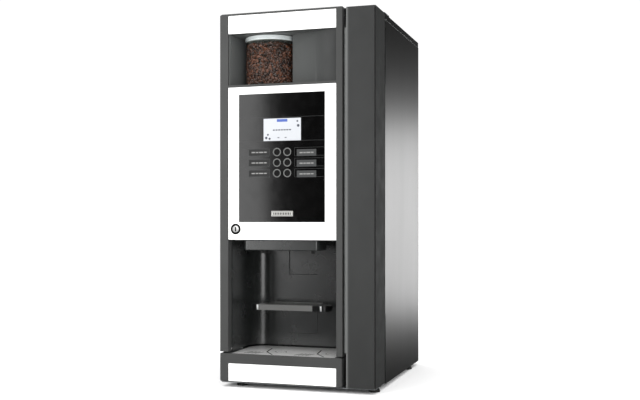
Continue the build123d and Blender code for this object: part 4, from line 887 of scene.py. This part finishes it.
@dataclass
class Cabinet(Assembly):
    """Sheet metal cabinet, its feet, its connections and its screws."""

    screw_inset: float = 0.007
    screw_rows: int = 7
    screw_radius: float = 0.0006

    def build(self) -> None:
        """Builds panels, the painted highlight under the top cover, and screws."""
        sides = {f"{side}_side_panel": "dark_cabinet_paint" for side in ("left", "right")}
        self.skins("cabinet", sides, 0.3 * MM)
        self.skins("cabinet", {
            "top_cover": "dark_cabinet_paint",
            "back_panel": "galvanised",
            "base_pan": "galvanised",
            "chassis_frame": "galvanised",
            "inner_chassis": "galvanised",
            "hinge_brackets": "galvanised",
            "water_inlet": "brass",
            "mains_inlet": "black_plastic",
        })
        corners = ("front_left", "front_right", "rear_left", "rear_right")
        self.skins("cabinet", {f"foot_{corner}": "rubber" for corner in corners})
        self.painted_cover_highlight()
        self.back_screws()

    def painted_cover_highlight(self) -> None:
        """Builds a painted highlight under the top cover's skirt, round both sides: a light grey strip along its
        lower edge.
        """
        low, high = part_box("top_cover")
        bead = 0.0024
        shape = bmesh.new()
        for edge, inward in ((low.x, 1), (high.x, -1)):
            x = sorted((edge + inward * 0.0002, edge + inward * 0.0018))
            block(shape, tuple(x), (low.y + 0.001, high.y - 0.003), (low.z - 0.0003, low.z + bead), 0.0002)
        # Painted highlight: a light grey strip, not a metal trim.
        self.keep(to_mesh("cover_bead", shape), "cabinet", "chrome_trim", finish="cover_edge_painted_highlight")

    def back_screws(self) -> None:
        """Builds the screws round the rear sheet."""
        low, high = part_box("back_panel")
        rise = (high.z - low.z - 2 * self.screw_inset) / (self.screw_rows - 1)
        places = [
            Vector((x, high.y - 0.0004, low.z + self.screw_inset + rise * index))
            for x in (low.x + self.screw_inset, high.x - self.screw_inset)
            for index in range(self.screw_rows)
        ]
        template = screw_template(Facing.BACK, self.screw_radius)
        piece = scattered("back_screws", template, places, self.finishes["lock_steel"])
        self.keep(piece, "cabinet", "lock_steel")


@dataclass
class Door(Assembly):
    """Front door: frame, column, white panels with a painted glow, bean window and rear shell."""

    screw_pitch: float = 0.09
    screw_radius: float = 0.0026
    groove: float = 0.003
    bead: float = 0.012

    def build(self) -> None:
        """Builds the door's shells and panels."""
        self.skins("door", {
            "front_frame": "dark_frame_plastic",
            "door_shell": "dark_shell_paint",
            "sign_panel": "opal_panel",
            "ui_surround": "white_panel",
        })
        # The window liner's finish paints light by the canister and shade towards the frame.
        self.keep(rebuilt("window_liner"), "door", "dark_liner_plastic", "window_liner", finish="window_painted_shade")
        self.column()
        self.rear_screws()

    def column(self) -> None:
        """Builds the column: its satin face, the bead with a painted highlight, its dull side, and a black strip that
        stands in for the shadow in the groove between.
        """
        low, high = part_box("column_cover")
        edge = Vector((0, low.y + self.groove, 0))
        rim = Vector((low.x + self.bead, 0, 0))
        front, left = Vector((0, -1, 0)), Vector((-1, 0, 0))
        for name, finish, cuts in (
            # The bead's finish is a painted highlight on the column's rounded edge.
            ("column_bead", "column_bead_painted_highlight", [(rim, -left)]),
            ("column_face", "column_plastic", [(edge, -front), (rim, left)]),
            ("column_side", "column_side_plastic", [(edge, front), (rim, left)]),
        ):
            piece = sliced("column_cover", name, cuts)
            self.keep(piece, "door", "dark_frame_plastic", "column_cover", finish=finish)
        # A black strip in the corner groove stands in for the groove's shadow.
        shape = bmesh.new()
        x, y = (high.x - 0.0026, high.x - 0.0002), (edge.y - 0.0005, edge.y + 0.0004)
        block(shape, x, y, (low.z + 0.001, high.z - 0.001))
        self.keep(to_mesh("column_groove", shape), "door", "black_plastic")

    def rear_screws(self) -> None:
        """Builds the screws that hold the rear wall of the door."""
        low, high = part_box("door_shell")
        count = int((high.z - low.z - 0.12) / self.screw_pitch)
        places = [
            Vector((x, high.y, low.z + 0.09 + self.screw_pitch * index))
            for x in (low.x + 0.008, high.x - 0.02)
            for index in range(count)
        ]
        template = screw_template(Facing.BACK, self.screw_radius)
        piece = scattered("door_screws", template, places, self.finishes["lock_steel"])
        self.keep(piece, "door", "lock_steel")


@dataclass
class Controls(Assembly):
    """Black glass with its screen, its buttons, their labels and the lock."""

    line: float = 0.00045
    label_high: float = 0.0182
    label_gap: float = 0.0085
    edge_gap: float = 0.001
    proud: float = 0.00008
    outline: float = 0.0006
    badge_inset: float = 0.0012
    bar_count: int = 11
    key_face: float = 0.0076

    def build(self) -> None:
        """Builds glass, screen, rings, buttons, labels and lock."""
        self.skins("door", {
            "ui_glass": "black_glass",
            "display_module": "display_screen",
        })
        for node, body, slot, finish in (
            ("lock_body", "door", "black_plastic", "slot_black"),
            ("button_rings", "door", "chrome_trim", "ring_metal"),
            ("lock_plug", "lock", "lock_steel", "slot_black"),
        ):
            self.keep(rebuilt(node), body, slot, node, finish=finish)
        for number in range(1, 7):
            self.keep(rebuilt(f"button_{number}"), f"push_button_{number}", "button_plastic", f"button_{number}")
        self.label_lines()
        self.plates()
        self.screen_marks()
        self.key_slot()

    def rows(self) -> list[float]:
        """Returns the height of each row of buttons, from the top."""
        return [(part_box(f"button_{n}")[0].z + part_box(f"button_{n}")[1].z) / 2 for n in (1, 3, 5)]

    def strip(self, shape: bmesh.types.BMesh, x: Span, z: Span) -> None:
        """Adds a thin printed strip that stands on the glass."""
        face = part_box("ui_glass")[0].y
        block(shape, x, (face - self.proud, face + self.proud), z)

    def label_lines(self) -> None:
        """Builds the fine lines from the glass's edges round each row of labels."""
        glass_low, glass_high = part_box("ui_glass")
        glass_left, glass_right = glass_low.x + self.edge_gap, glass_high.x - self.edge_gap
        left_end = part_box("button_1")[0].x - self.label_gap
        right_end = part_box("button_2")[1].x + self.label_gap
        rows = self.rows()
        half = self.label_high / 2
        shape = bmesh.new()
        for x in ((glass_left, left_end), (right_end, glass_right)):
            for z in (-half, half):
                block(shape, x, (-self.proud, self.proud), (z - self.line / 2, z + self.line / 2))
        for x in (left_end, right_end):
            block(shape, (x - self.line / 2, x + self.line / 2), (-self.proud, self.proud), (-half, half))
        template = to_mesh("label_frame_template", shape)
        places = [Vector((0, glass_low.y, z)) for z in rows]
        piece = scattered("label_lines", template, places, self.finishes["label_film"])
        self.keep(piece, "door", "label_film")
        screen = self.screen_box()
        lines = bmesh.new()
        for z in (screen[1].z + 0.0028, screen[0].z - 0.0006):
            self.strip(lines, (glass_left, glass_right), (z - self.line / 2, z + self.line / 2))
        self.keep(to_mesh("screen_lines", lines), "door", "label_film")

    def screen_box(self) -> tuple[Vector, Vector]:
        """Returns the lit part of the screen module: where it shows through the glass.

        Returns:
            Its low and high corner.
        """
        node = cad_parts["display_module"].data
        front = min(v.co.y for v in node.vertices)
        face = [v.co for v in node.vertices if v.co.y < front + 1e-4]
        low = Vector((min(c.x for c in face), front, min(c.z for c in face)))
        high = Vector((max(c.x for c in face), front, max(c.z for c in face)))
        return low, high

    def islands(self, node: str) -> list[tuple[Vector, Vector]]:
        """Returns the box of each separate solid of a CAD node, from the left and from the top.

        Args:
            node: The CAD node.

        Returns:
            Low and high corner of each solid.
        """
        shape = bmesh.new()
        shape.from_mesh(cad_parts[node].data)
        bmesh.ops.remove_doubles(shape, verts=shape.verts, dist=2e-6)
        left = set(shape.verts)
        found = []
        while left:
            todo, part = [left.pop()], []
            while todo:
                vert = todo.pop()
                part.append(vert.co.copy())
                near = {edge.other_vert(vert) for edge in vert.link_edges} & left
                left -= near
                todo += near
            found.append((Vector(map(min, *part)), Vector(map(max, *part))))
        shape.free()
        return sorted(found, key=lambda box: (round(box[0].x, 3), -box[0].z))

    def plates(self) -> None:
        """Builds the label plates, dark on the left and grey on the right, and the light badge."""
        boxes = self.islands("label_plates")
        middle = (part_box("button_1")[1].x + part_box("button_2")[0].x) / 2
        groups = {
            "left_labels": ([b for b in boxes if b[1].x < middle - 0.02], "black_plastic"),
            "right_labels": ([b for b in boxes if b[0].x > middle + 0.02], "label_film"),
            "badge": ([b for b in boxes if b[0].x < middle < b[1].x], "grey_lid_plastic"),
        }
        for name, (group, slot) in groups.items():
            shape, marks = bmesh.new(), bmesh.new()
            for low, high in group:
                block(shape, (low.x, high.x), (low.y, high.y), (low.z, high.z))
                if name == "badge":
                    self.bars(marks, low, high)
                else:
                    self.dashes(marks, low, high)
            finish = "badge_plate" if name == "badge" else slot
            self.keep(to_mesh(name, shape), "door", slot, "label_plates", finish=finish)
            ink, print_finish = ("black_plastic", "slot_black") if name == "badge" else ("natural_plastic", "dim_ink")
            self.keep(to_mesh(f"{name}_marks", marks), "door", ink, finish=print_finish)
        edges = bmesh.new()
        for low, high in groups["left_labels"][0]:
            self.border(edges, low, high)
        self.keep(to_mesh("label_edges", edges), "door", "label_film")

    def border(self, shape: bmesh.types.BMesh, low: Vector, high: Vector) -> None:
        """Adds a fine printed outline just inside a plate's face.

        Args:
            shape: The bmesh that takes it.
            low: The plate's low corner.
            high: The plate's high corner.
        """
        y, line = (low.y - self.proud, low.y + self.proud), self.outline
        for z in (low.z, high.z - line):
            block(shape, (low.x, high.x), y, (z, z + line))
        for x in (low.x, high.x - line):
            block(shape, (x, x + line), y, (low.z + line, high.z - line))

    def dashes(self, shape: bmesh.types.BMesh, low: Vector, high: Vector) -> None:
        """Adds a short row of plain dashes to a label, in place of a drink's name.

        Args:
            shape: The bmesh that takes them.
            low: The label's low corner.
            high: The label's high corner.
        """
        unit, rise = (high.x - low.x) * 0.72 / 27, (low.z + high.z) / 2
        start = (low.x + high.x) / 2 - 13.5 * unit
        for width in (6.2, 4.4, 7.6, 4.6):
            end = start + width * unit
            block(shape, (start, end), (low.y - self.proud, low.y + self.proud), (rise - 0.0013, rise + 0.0013))
            start = end + 1.4 * unit

    def bars(self, shape: bmesh.types.BMesh, low: Vector, high: Vector) -> None:
        """Adds a row of plain upright bars inside a fine outline to the badge, in place of its mark.

        Args:
            shape: The bmesh that takes them.
            low: The badge's low corner.
            high: The badge's high corner.
        """
        inset = Vector((self.badge_inset, 0, self.badge_inset))
        self.border(shape, low + inset, high - inset)
        pitch = (high.x - low.x - 0.008) / self.bar_count
        y, z = (low.y - self.proud, low.y + self.proud), (low.z + 0.0032, high.z - 0.0032)
        for index in range(self.bar_count):
            start = low.x + 0.004 + (index + 0.2) * pitch
            block(shape, (start, start + pitch * 0.55), y, z)

    def screen_marks(self) -> None:
        """Builds the screen's plain picture: a title bar, a line of dashes and two corner sprigs."""
        low, high = self.screen_box()
        middle = (low.x + high.x) / 2
        face = (low.y - self.proud, low.y + self.proud)
        title = bmesh.new()
        block(title, (middle - 0.0125, middle + 0.0125), face, (high.z - 0.0078, high.z - 0.0018))
        self.keep(to_mesh("screen_title", title), "door", "display_screen", finish="screen_blue")
        marks = bmesh.new()
        for index in range(7):
            x = middle - 0.022 + index * 0.0064
            block(marks, (x, x + 0.0046), face, (low.z + 0.0228, low.z + 0.0254))
        for x in (middle - 0.011, middle + 0.006):
            block(marks, (x, x + 0.0045), face, (low.z + 0.006, low.z + 0.0078))
        for x, z, size in (
            (-0.038, 0.007, 4.0), (-0.034, 0.014, 3.0), (-0.030, 0.005, 3.4),
            (0.038, 0.033, 4.2), (0.036, 0.043, 2.8),
        ):
            centre = Vector((middle + x, low.y, low.z + z))
            turned(marks, [(size * 0.75 * MM, 0), (size * 0.7 * MM, self.proud)], centre, Facing.FRONT, 10)
        self.keep(to_mesh("screen_marks", marks), "door", "display_screen", finish="screen_ink")

    def key_slot(self) -> None:
        """Builds the bright face of the lock's plug and a black block on it that stands in for the shade in the key
        slot.
        """
        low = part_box("lock_plug")[0]
        ring_low, ring_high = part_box("lock_body")
        x, z = (ring_low.x + ring_high.x) / 2, (ring_low.z + ring_high.z) / 2
        face, slot = bmesh.new(), bmesh.new()
        disc = [(self.key_face, 0.0), (self.key_face, 0.0007)]
        turned(face, disc, Vector((x, low.y + 0.0005, z)), Facing.FRONT, 40)
        self.keep(to_mesh("lock_face", face), "lock", "lock_steel")
        # Painted shade: a black block in place of the key slot's shadow.
        block(slot, (x - 0.0015, x + 0.0015), (low.y - 0.00026, low.y + 0.001), (z - 0.0052, z + 0.0052))
        self.keep(to_mesh("key_slot", slot), "lock", "black_plastic", finish="slot_black")


@dataclass
class CupStation(Assembly):
    """Cup niche, outlet head, folding shelf, and the drawer with its grille."""

    # Width and height of the painted glints at the shelf's front corners.
    glint_size: tuple[float, float] = (0.0042, 0.0125)
    wing: float = 0.0205
    bracket_back: float = 0.0029
    groove_rise: float = 0.061

    def build(self) -> None:
        """Builds the station's shells, its shelf and its drawer."""
        self.skins("door", {
            "niche_liner": "dark_liner_plastic",
            "outlet_head": "dark_liner_plastic",
            "outlet_nozzles": "black_plastic",
            "shelf_bracket": "dark_liner_plastic",
        })
        self.skins("drawer", {"drip_drawer": "dark_frame_plastic", "drawer_panel": "white_panel"})
        self.skins("grille", {"drip_grille": "stainless"})
        self.grille_lining()
        self.grooves()
        self.shelf()
        self.shelf_glints()

    def grooves(self) -> None:
        """Builds black strips in the grooves of the rear wall, over and round the shelf's bracket, that stand in for
        the shadow in them.
        """
        low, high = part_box("shelf_bracket")
        wall = high.y - self.bracket_back
        y = (wall - 0.0002, wall + 0.001)
        foot = high.z + self.groove_rise
        side, thin = 0.002, 0.0014
        shape = bmesh.new()
        block(shape, (low.x, low.x + side), y, (foot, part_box("outlet_head")[0].z + 0.012))
        block(shape, (low.x + side, high.x), y, (foot, foot + thin))
        block(shape, (low.x, high.x), y, (low.z - thin, low.z))
        block(shape, (high.x, high.x + 0.0008), y, (low.z, high.z))
        # Painted shade: black strips where the grooves' shadow falls.
        self.keep(to_mesh("wall_grooves", shape), "door", "black_plastic")

    def grille_lining(self) -> None:
        """Builds a black block inside the grille that stands in for the shade seen through its slots."""
        low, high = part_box("drip_grille")
        shape = bmesh.new()
        x, y = (low.x + 0.003, high.x - 0.003), (low.y + 0.004, low.y + 0.110)
        block(shape, x, y, (low.z + 0.0002, high.z - 0.0003))
        # Painted shade: a dead black block under the grille's slots.
        self.keep(to_mesh("grille_lining", shape), "grille", "black_plastic", finish="slot_black")

    def shelf(self) -> None:
        """Builds the shelf in three pieces: the grey middle, a painted reflection on its glossy black front, and the
        black wings beside it.
        """
        low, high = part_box("cup_shelf")
        first, last = Vector((low.x + self.wing, 0, 0)), Vector((high.x - 2 * self.wing, 0, 0))
        left, right = Vector((-1, 0, 0)), Vector((1, 0, 0))
        for name, slot, finish, cuts in (
            ("shelf_wing_left", "black_plastic", "black_gloss", [(first, right)]),
            # The middle's grey finish is a painted reflection.
            ("shelf_middle", "shelf_plastic", "shelf_plastic", [(first, left), (last, right)]),
            ("shelf_wing_right", "black_plastic", "black_gloss", [(last, left)]),
        ):
            self.keep(sliced("cup_shelf", name, cuts), "shelf", slot, "cup_shelf", finish=finish)

    def shelf_glints(self) -> None:
        """Builds two painted highlights at the front corners of the shelf: bright metal blocks that stand in for
        glints on its glossy edge.
        """
        low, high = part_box("cup_shelf")
        wide, tall = self.glint_size
        shape = bmesh.new()
        # Each block is a painted glint, not a real clip.
        for x in (low.x + self.wing, high.x - self.wing):
            y, z = (low.y - 0.0004, low.y + 0.003), (high.z - tall, high.z - 0.001)
            block(shape, (x - wide / 2, x + wide / 2), y, z, 0.0005)
        self.keep(to_mesh("shelf_clips", shape), "shelf", "chrome_trim")


@dataclass
class BeanHopper(Assembly):
    """Clear canister of coffee beans with its lid."""

    seed: int = 7
    bean: tuple[float, float, float] = (0.0054, 0.0040, 0.0031)
    spacing: float = 0.0056
    layer: float = 0.0036
    depth: float = 0.105
    density: float = 60000.0
    wall: float = 0.0029
    plug: float = 0.004

    def build(self) -> None:
        """Builds canister, lid and beans."""
        self.skins("cabinet", {"bean_canister": "clear_plastic", "bean_lid": "grey_lid_plastic"})
        low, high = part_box("coffee_beans")
        inset = self.layer * 1.5
        core = self.prism("bean_bed", self.outline(low, high, inset), (low.z + 0.001, high.z - inset))
        self.keep(core, "cabinet", "roasted_beans", "coffee_beans")
        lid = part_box("bean_lid")[0]
        seal = self.prism("lid_seal", self.outline(low, high, -0.0001), (lid.z - 0.0006, lid.z + self.plug - 0.0002))
        self.keep(seal, "cabinet", "rubber", finish="lid_seal")
        self.beans(low, high)

    def prism(self, name: str, rim: Sequence[Span], z: Span) -> bpy.types.Object:
        """Builds a closed upright prism.

        Args:
            name: Name of the piece.
            rim: Its outline, seen from above.
            z: Low and high end.

        Returns:
            The piece.
        """
        shape = bmesh.new()
        floor, roof = ([shape.verts.new((x, y, level)) for x, y in rim] for level in z)
        for index in range(len(rim)):
            after = (index + 1) % len(rim)
            shape.faces.new((floor[index], floor[after], roof[after], roof[index]))
        shape.faces.new(reversed(floor))
        shape.faces.new(roof)
        return to_mesh(name, shape)

    def outline(self, low: Vector, high: Vector, inset: float) -> list[Span]:
        """Returns the canister's plan, a round nose and straight sides, drawn in by an inset.

        Args:
            low: Low corner of the beans' box.
            high: Its high corner.
            inset: How far the plan is drawn in.

        Returns:
            X and Y of each corner.
        """
        radius = (high.x - low.x) / 2 - inset
        centre = ((low.x + high.x) / 2, low.y + (high.x - low.x) / 2)
        steps = 24
        nose = [
            (centre[0] - radius * math.cos(math.pi * s / steps), centre[1] - radius * math.sin(math.pi * s / steps))
            for s in range(steps + 1)
        ]
        return [*nose, (centre[0] + radius, high.y - inset), (centre[0] - radius, high.y - inset)]

    def bean_template(self) -> bpy.types.Object:
        """Returns one bean: an oval dome with a flat face and a crease along it.

        Returns:
            The template.
        """
        shape = bmesh.new()
        bmesh.ops.create_uvsphere(shape, u_segments=8, v_segments=6, radius=1.0)
        long, wide, tall = self.bean
        for vert in shape.verts:
            x, y, z = vert.co.z, vert.co.y, vert.co.x
            flat = 0.45 if z < 0 else 1.0
            crease = 0.35 * math.exp(-((y / 0.25) ** 2)) if z < 0 else 0.0
            vert.co = (x * long, y * wide, z * tall * flat + crease * tall)
        bmesh.ops.recalc_face_normals(shape, faces=shape.faces)
        return to_mesh("bean_template", shape, 80.0)

    def beans(self, low: Vector, high: Vector) -> None:
        """Scatters beans in two layers against the wall and over the top.

        Args:
            low: Low corner of the beans' box.
            high: Its high corner.
        """
        shape = bmesh.new()
        for inset in (self.wall, self.wall + self.layer):
            rim = self.outline(low, high, inset)[:25]
            floor = [shape.verts.new((x, y, low.z + 0.003)) for x, y in rim]
            roof = [shape.verts.new((x, y, high.z - 0.003)) for x, y in rim]
            for index in range(len(rim) - 1):
                shape.faces.new((floor[index], floor[index + 1], roof[index + 1], roof[index]))
        for inset, drop in ((self.wall, 0.003), (self.wall, 0.007)):
            rim = self.outline(low, high, inset)
            back = low.y + self.depth
            kept = [(x, min(y, back)) for x, y in rim]
            shape.faces.new([shape.verts.new((x, y, high.z - drop)) for x, y in kept])
        bed = to_mesh("bean_places", shape)
        template = self.bean_template()
        tree = RuleTree("roasted_bean_pile")
        spread = tree.add("GeometryNodeDistributePointsOnFaces", distribute_method="POISSON")
        tree.link(tree.start.outputs["Carrier"], spread.inputs["Mesh"])
        tree.link(tree.input("Spacing", "Float", self.spacing), spread.inputs["Distance Min"])
        tree.link(tree.input("Density", "Float", self.density), spread.inputs["Density Max"])
        tree.link(tree.input("Seed", "Int", self.seed), spread.inputs["Seed"])
        tumble = tree.add("FunctionNodeRandomValue", data_type="FLOAT_VECTOR")
        tumble.inputs["Min"].default_value = (-0.5, -0.6, -math.pi)
        tumble.inputs["Max"].default_value = (0.5, 0.6, math.pi)
        tumble.inputs["Seed"].default_value = self.seed + 1
        copies = tree.instance(spread.outputs["Points"], template)
        roll = tree.add("FunctionNodeRotateRotation", rotation_space="LOCAL")
        tree.link(spread.outputs["Rotation"], roll.inputs["Rotation"])
        as_rotation = tree.add("FunctionNodeEulerToRotation")
        tree.link(tumble.outputs["Value"], as_rotation.inputs["Euler"])
        tree.link(as_rotation.outputs["Rotation"], roll.inputs["Rotate By"])
        tree.link(roll.outputs["Rotation"], copies.inputs["Rotation"])
        tone = tree.add("FunctionNodeRandomValue", data_type="FLOAT")
        tone.inputs["Seed"].default_value = self.seed + 2
        stored = tree.add("GeometryNodeStoreNamedAttribute", data_type="FLOAT", domain="INSTANCE")
        stored.inputs["Name"].default_value = "tone"
        tree.link(copies.outputs["Instances"], stored.inputs["Geometry"])
        tree.link(tone.outputs[1], stored.inputs["Value"])
        piece = tree.bake(stored.outputs["Geometry"], self.finishes["roasted_beans"], bed)
        bpy.data.objects.remove(template)
        self.keep(piece, "cabinet", "roasted_beans", "coffee_beans")


@dataclass
class DrinkWorks(Assembly):
    """Everything behind the door that grinds, mixes, brews, heats and pumps."""

    def build(self) -> None:
        """Builds the works, fixed and turning."""
        self.skins("cabinet", {
            "grinder_housing": "cast_aluminium",
            "canister_lids": "grey_lid_plastic",
            "mixing_bowls": "natural_plastic",
            "mixer_motors": "cast_aluminium",
            "brewer_frame": "black_plastic",
            "boiler": "stainless",
            "water_pump": "black_plastic",
            "waste_bin": "black_plastic",
            "control_board": "circuit_board",
        })
        canisters = "ingredient_canisters"
        self.keep(rebuilt(canisters), "cabinet", "clear_plastic", canisters, finish="milky_plastic")
        for body, node, slot in (
            ("burr", "grinder_burr", "lock_steel"),
            ("screw", "brewer_screw", "lock_steel"),
            ("piston", "brew_piston", "natural_plastic"),
            ("milk_auger_body", "milk_auger", "natural_plastic"),
            ("cocoa_auger_body", "cocoa_auger", "natural_plastic"),
            ("milk_whipper_body", "milk_whipper", "natural_plastic"),
            ("cocoa_whipper_body", "cocoa_whipper", "natural_plastic"),
        ):
            self.keep(rebuilt(node), body, slot, node)


# ---------------------------------------------------------------- studio
@dataclass
class Studio:
    """Camera, floor and lights."""

    eye: tuple[float, float, float] = (0.68355, -2.2085, 0.3802)
    azimuth: float = 17.58
    lens: float = 52.81
    shift: float = 0.0317

    def build(self) -> None:
        """Builds the whole studio."""
        self.camera()
        self.floor()
        self.world()
        # softboxes: name, place, aim, width, height, power
        for name, place, aim, wide, high, power in (
            ("key_left", (-1.74, -2.5, 1.05), (-1.3, 0.0, 0.6), 1.5, 2.2, 31.0),
            ("fill_right", (2.3, -2.4, 1.7), (0, 0, 0.4), 1.2, 1.2, 18.0),
            ("top", (0.0, -0.6, 2.6), (0, 0, 0), 2.2, 2.2, 40.0),
            ("side_glow", (1.35, 3.1, 0.39), (0.18, 0.05, 0.4), 1.3, 1.1, 18.5),
            ("strip_right", (1.3, -2.7, 0.6), (-0.1, 0.0, 0.3), 1.0, 1.6, 17.0),
        ):
            self.softbox(name, Vector(place), Vector(aim), wide, high, power)

    def camera(self) -> None:
        """Places the level camera to the front right."""
        data = bpy.data.cameras.new("camera")
        data.lens = self.lens
        data.shift_y = self.shift
        data.clip_end = 60.0
        camera = bpy.data.objects.new("camera", data)
        camera.location = self.eye
        camera.rotation_euler = (math.radians(90), 0.0, math.radians(self.azimuth))
        bpy.context.scene.collection.objects.link(camera)
        bpy.context.scene.camera = camera
        bpy.context.scene.view_settings.view_transform = "Standard"

    def floor(self) -> None:
        """Builds the plain pale floor."""
        reach = 12.0
        shape = bmesh.new()
        corners = ((-reach, -reach), (reach, -reach), (reach, reach), (-reach, reach))
        shape.faces.new([shape.verts.new((x, y, 0.0)) for x, y in corners])
        floor = to_mesh("studio_floor", shape)
        paint = Finish("studio_white", (0.97, 0.97, 0.97), 0.7).make()
        paint.node_tree.nodes["Principled BSDF"].inputs["Specular IOR Level"].default_value = 0.0
        floor.data.materials.append(paint)
        floor.visible_glossy = False

    def world(self) -> None:
        """Sets white surroundings that reflect darker than they light."""
        world = bpy.data.worlds.new("studio")
        bpy.context.scene.world = world
        world.use_nodes = True
        nodes, links = world.node_tree.nodes, world.node_tree.links
        path = nodes.new("ShaderNodeLightPath")
        mix = nodes.new("ShaderNodeMix")
        mix.inputs[2].default_value = 1.05
        mix.inputs[3].default_value = 0.012
        background = nodes["Background"]
        background.inputs["Color"].default_value = (1.0, 1.0, 1.0, 1.0)
        links.new(path.outputs["Is Glossy Ray"], mix.inputs["Factor"])
        links.new(mix.outputs[0], background.inputs["Strength"])

    def softbox(self, name: str, place: Vector, aim: Vector, wide: float, high: float, power: float) -> None:
        """Adds one rectangular light.

        Args:
            name: Name of the light.
            place: Where it hangs.
            aim: Point that it faces.
            wide: Its width; high is its height.
            high: Its height.
            power: Its power in watts.
        """
        data = bpy.data.lights.new(name, "AREA")
        data.shape = "RECTANGLE"
        data.size, data.size_y, data.energy = wide, high, power
        light = bpy.data.objects.new(name, data)
        light.location = place
        light.rotation_euler = (aim - place).to_track_quat("-Z", "Y").to_euler()
        bpy.context.scene.collection.objects.link(light)


def main() -> None:
    """Builds the studio and every sub-assembly in order, and reports their pieces."""
    logging.basicConfig(level=logging.INFO, format="%(name)s %(message)s")
    Studio().build()
    finishes = Finishes()
    for kind in (Cabinet, Door, Controls, CupStation, BeanHopper, DrinkWorks):
        assembly = kind(finishes)
        assembly.build()
        for name in assembly.made:
            triangles = sum(len(face.vertices) - 2 for face in bpy.data.objects[name].data.polygons)
            LOG.info("%s %s: %d triangles", kind.__name__, name, triangles)


if __name__ == "__main__":
    main()
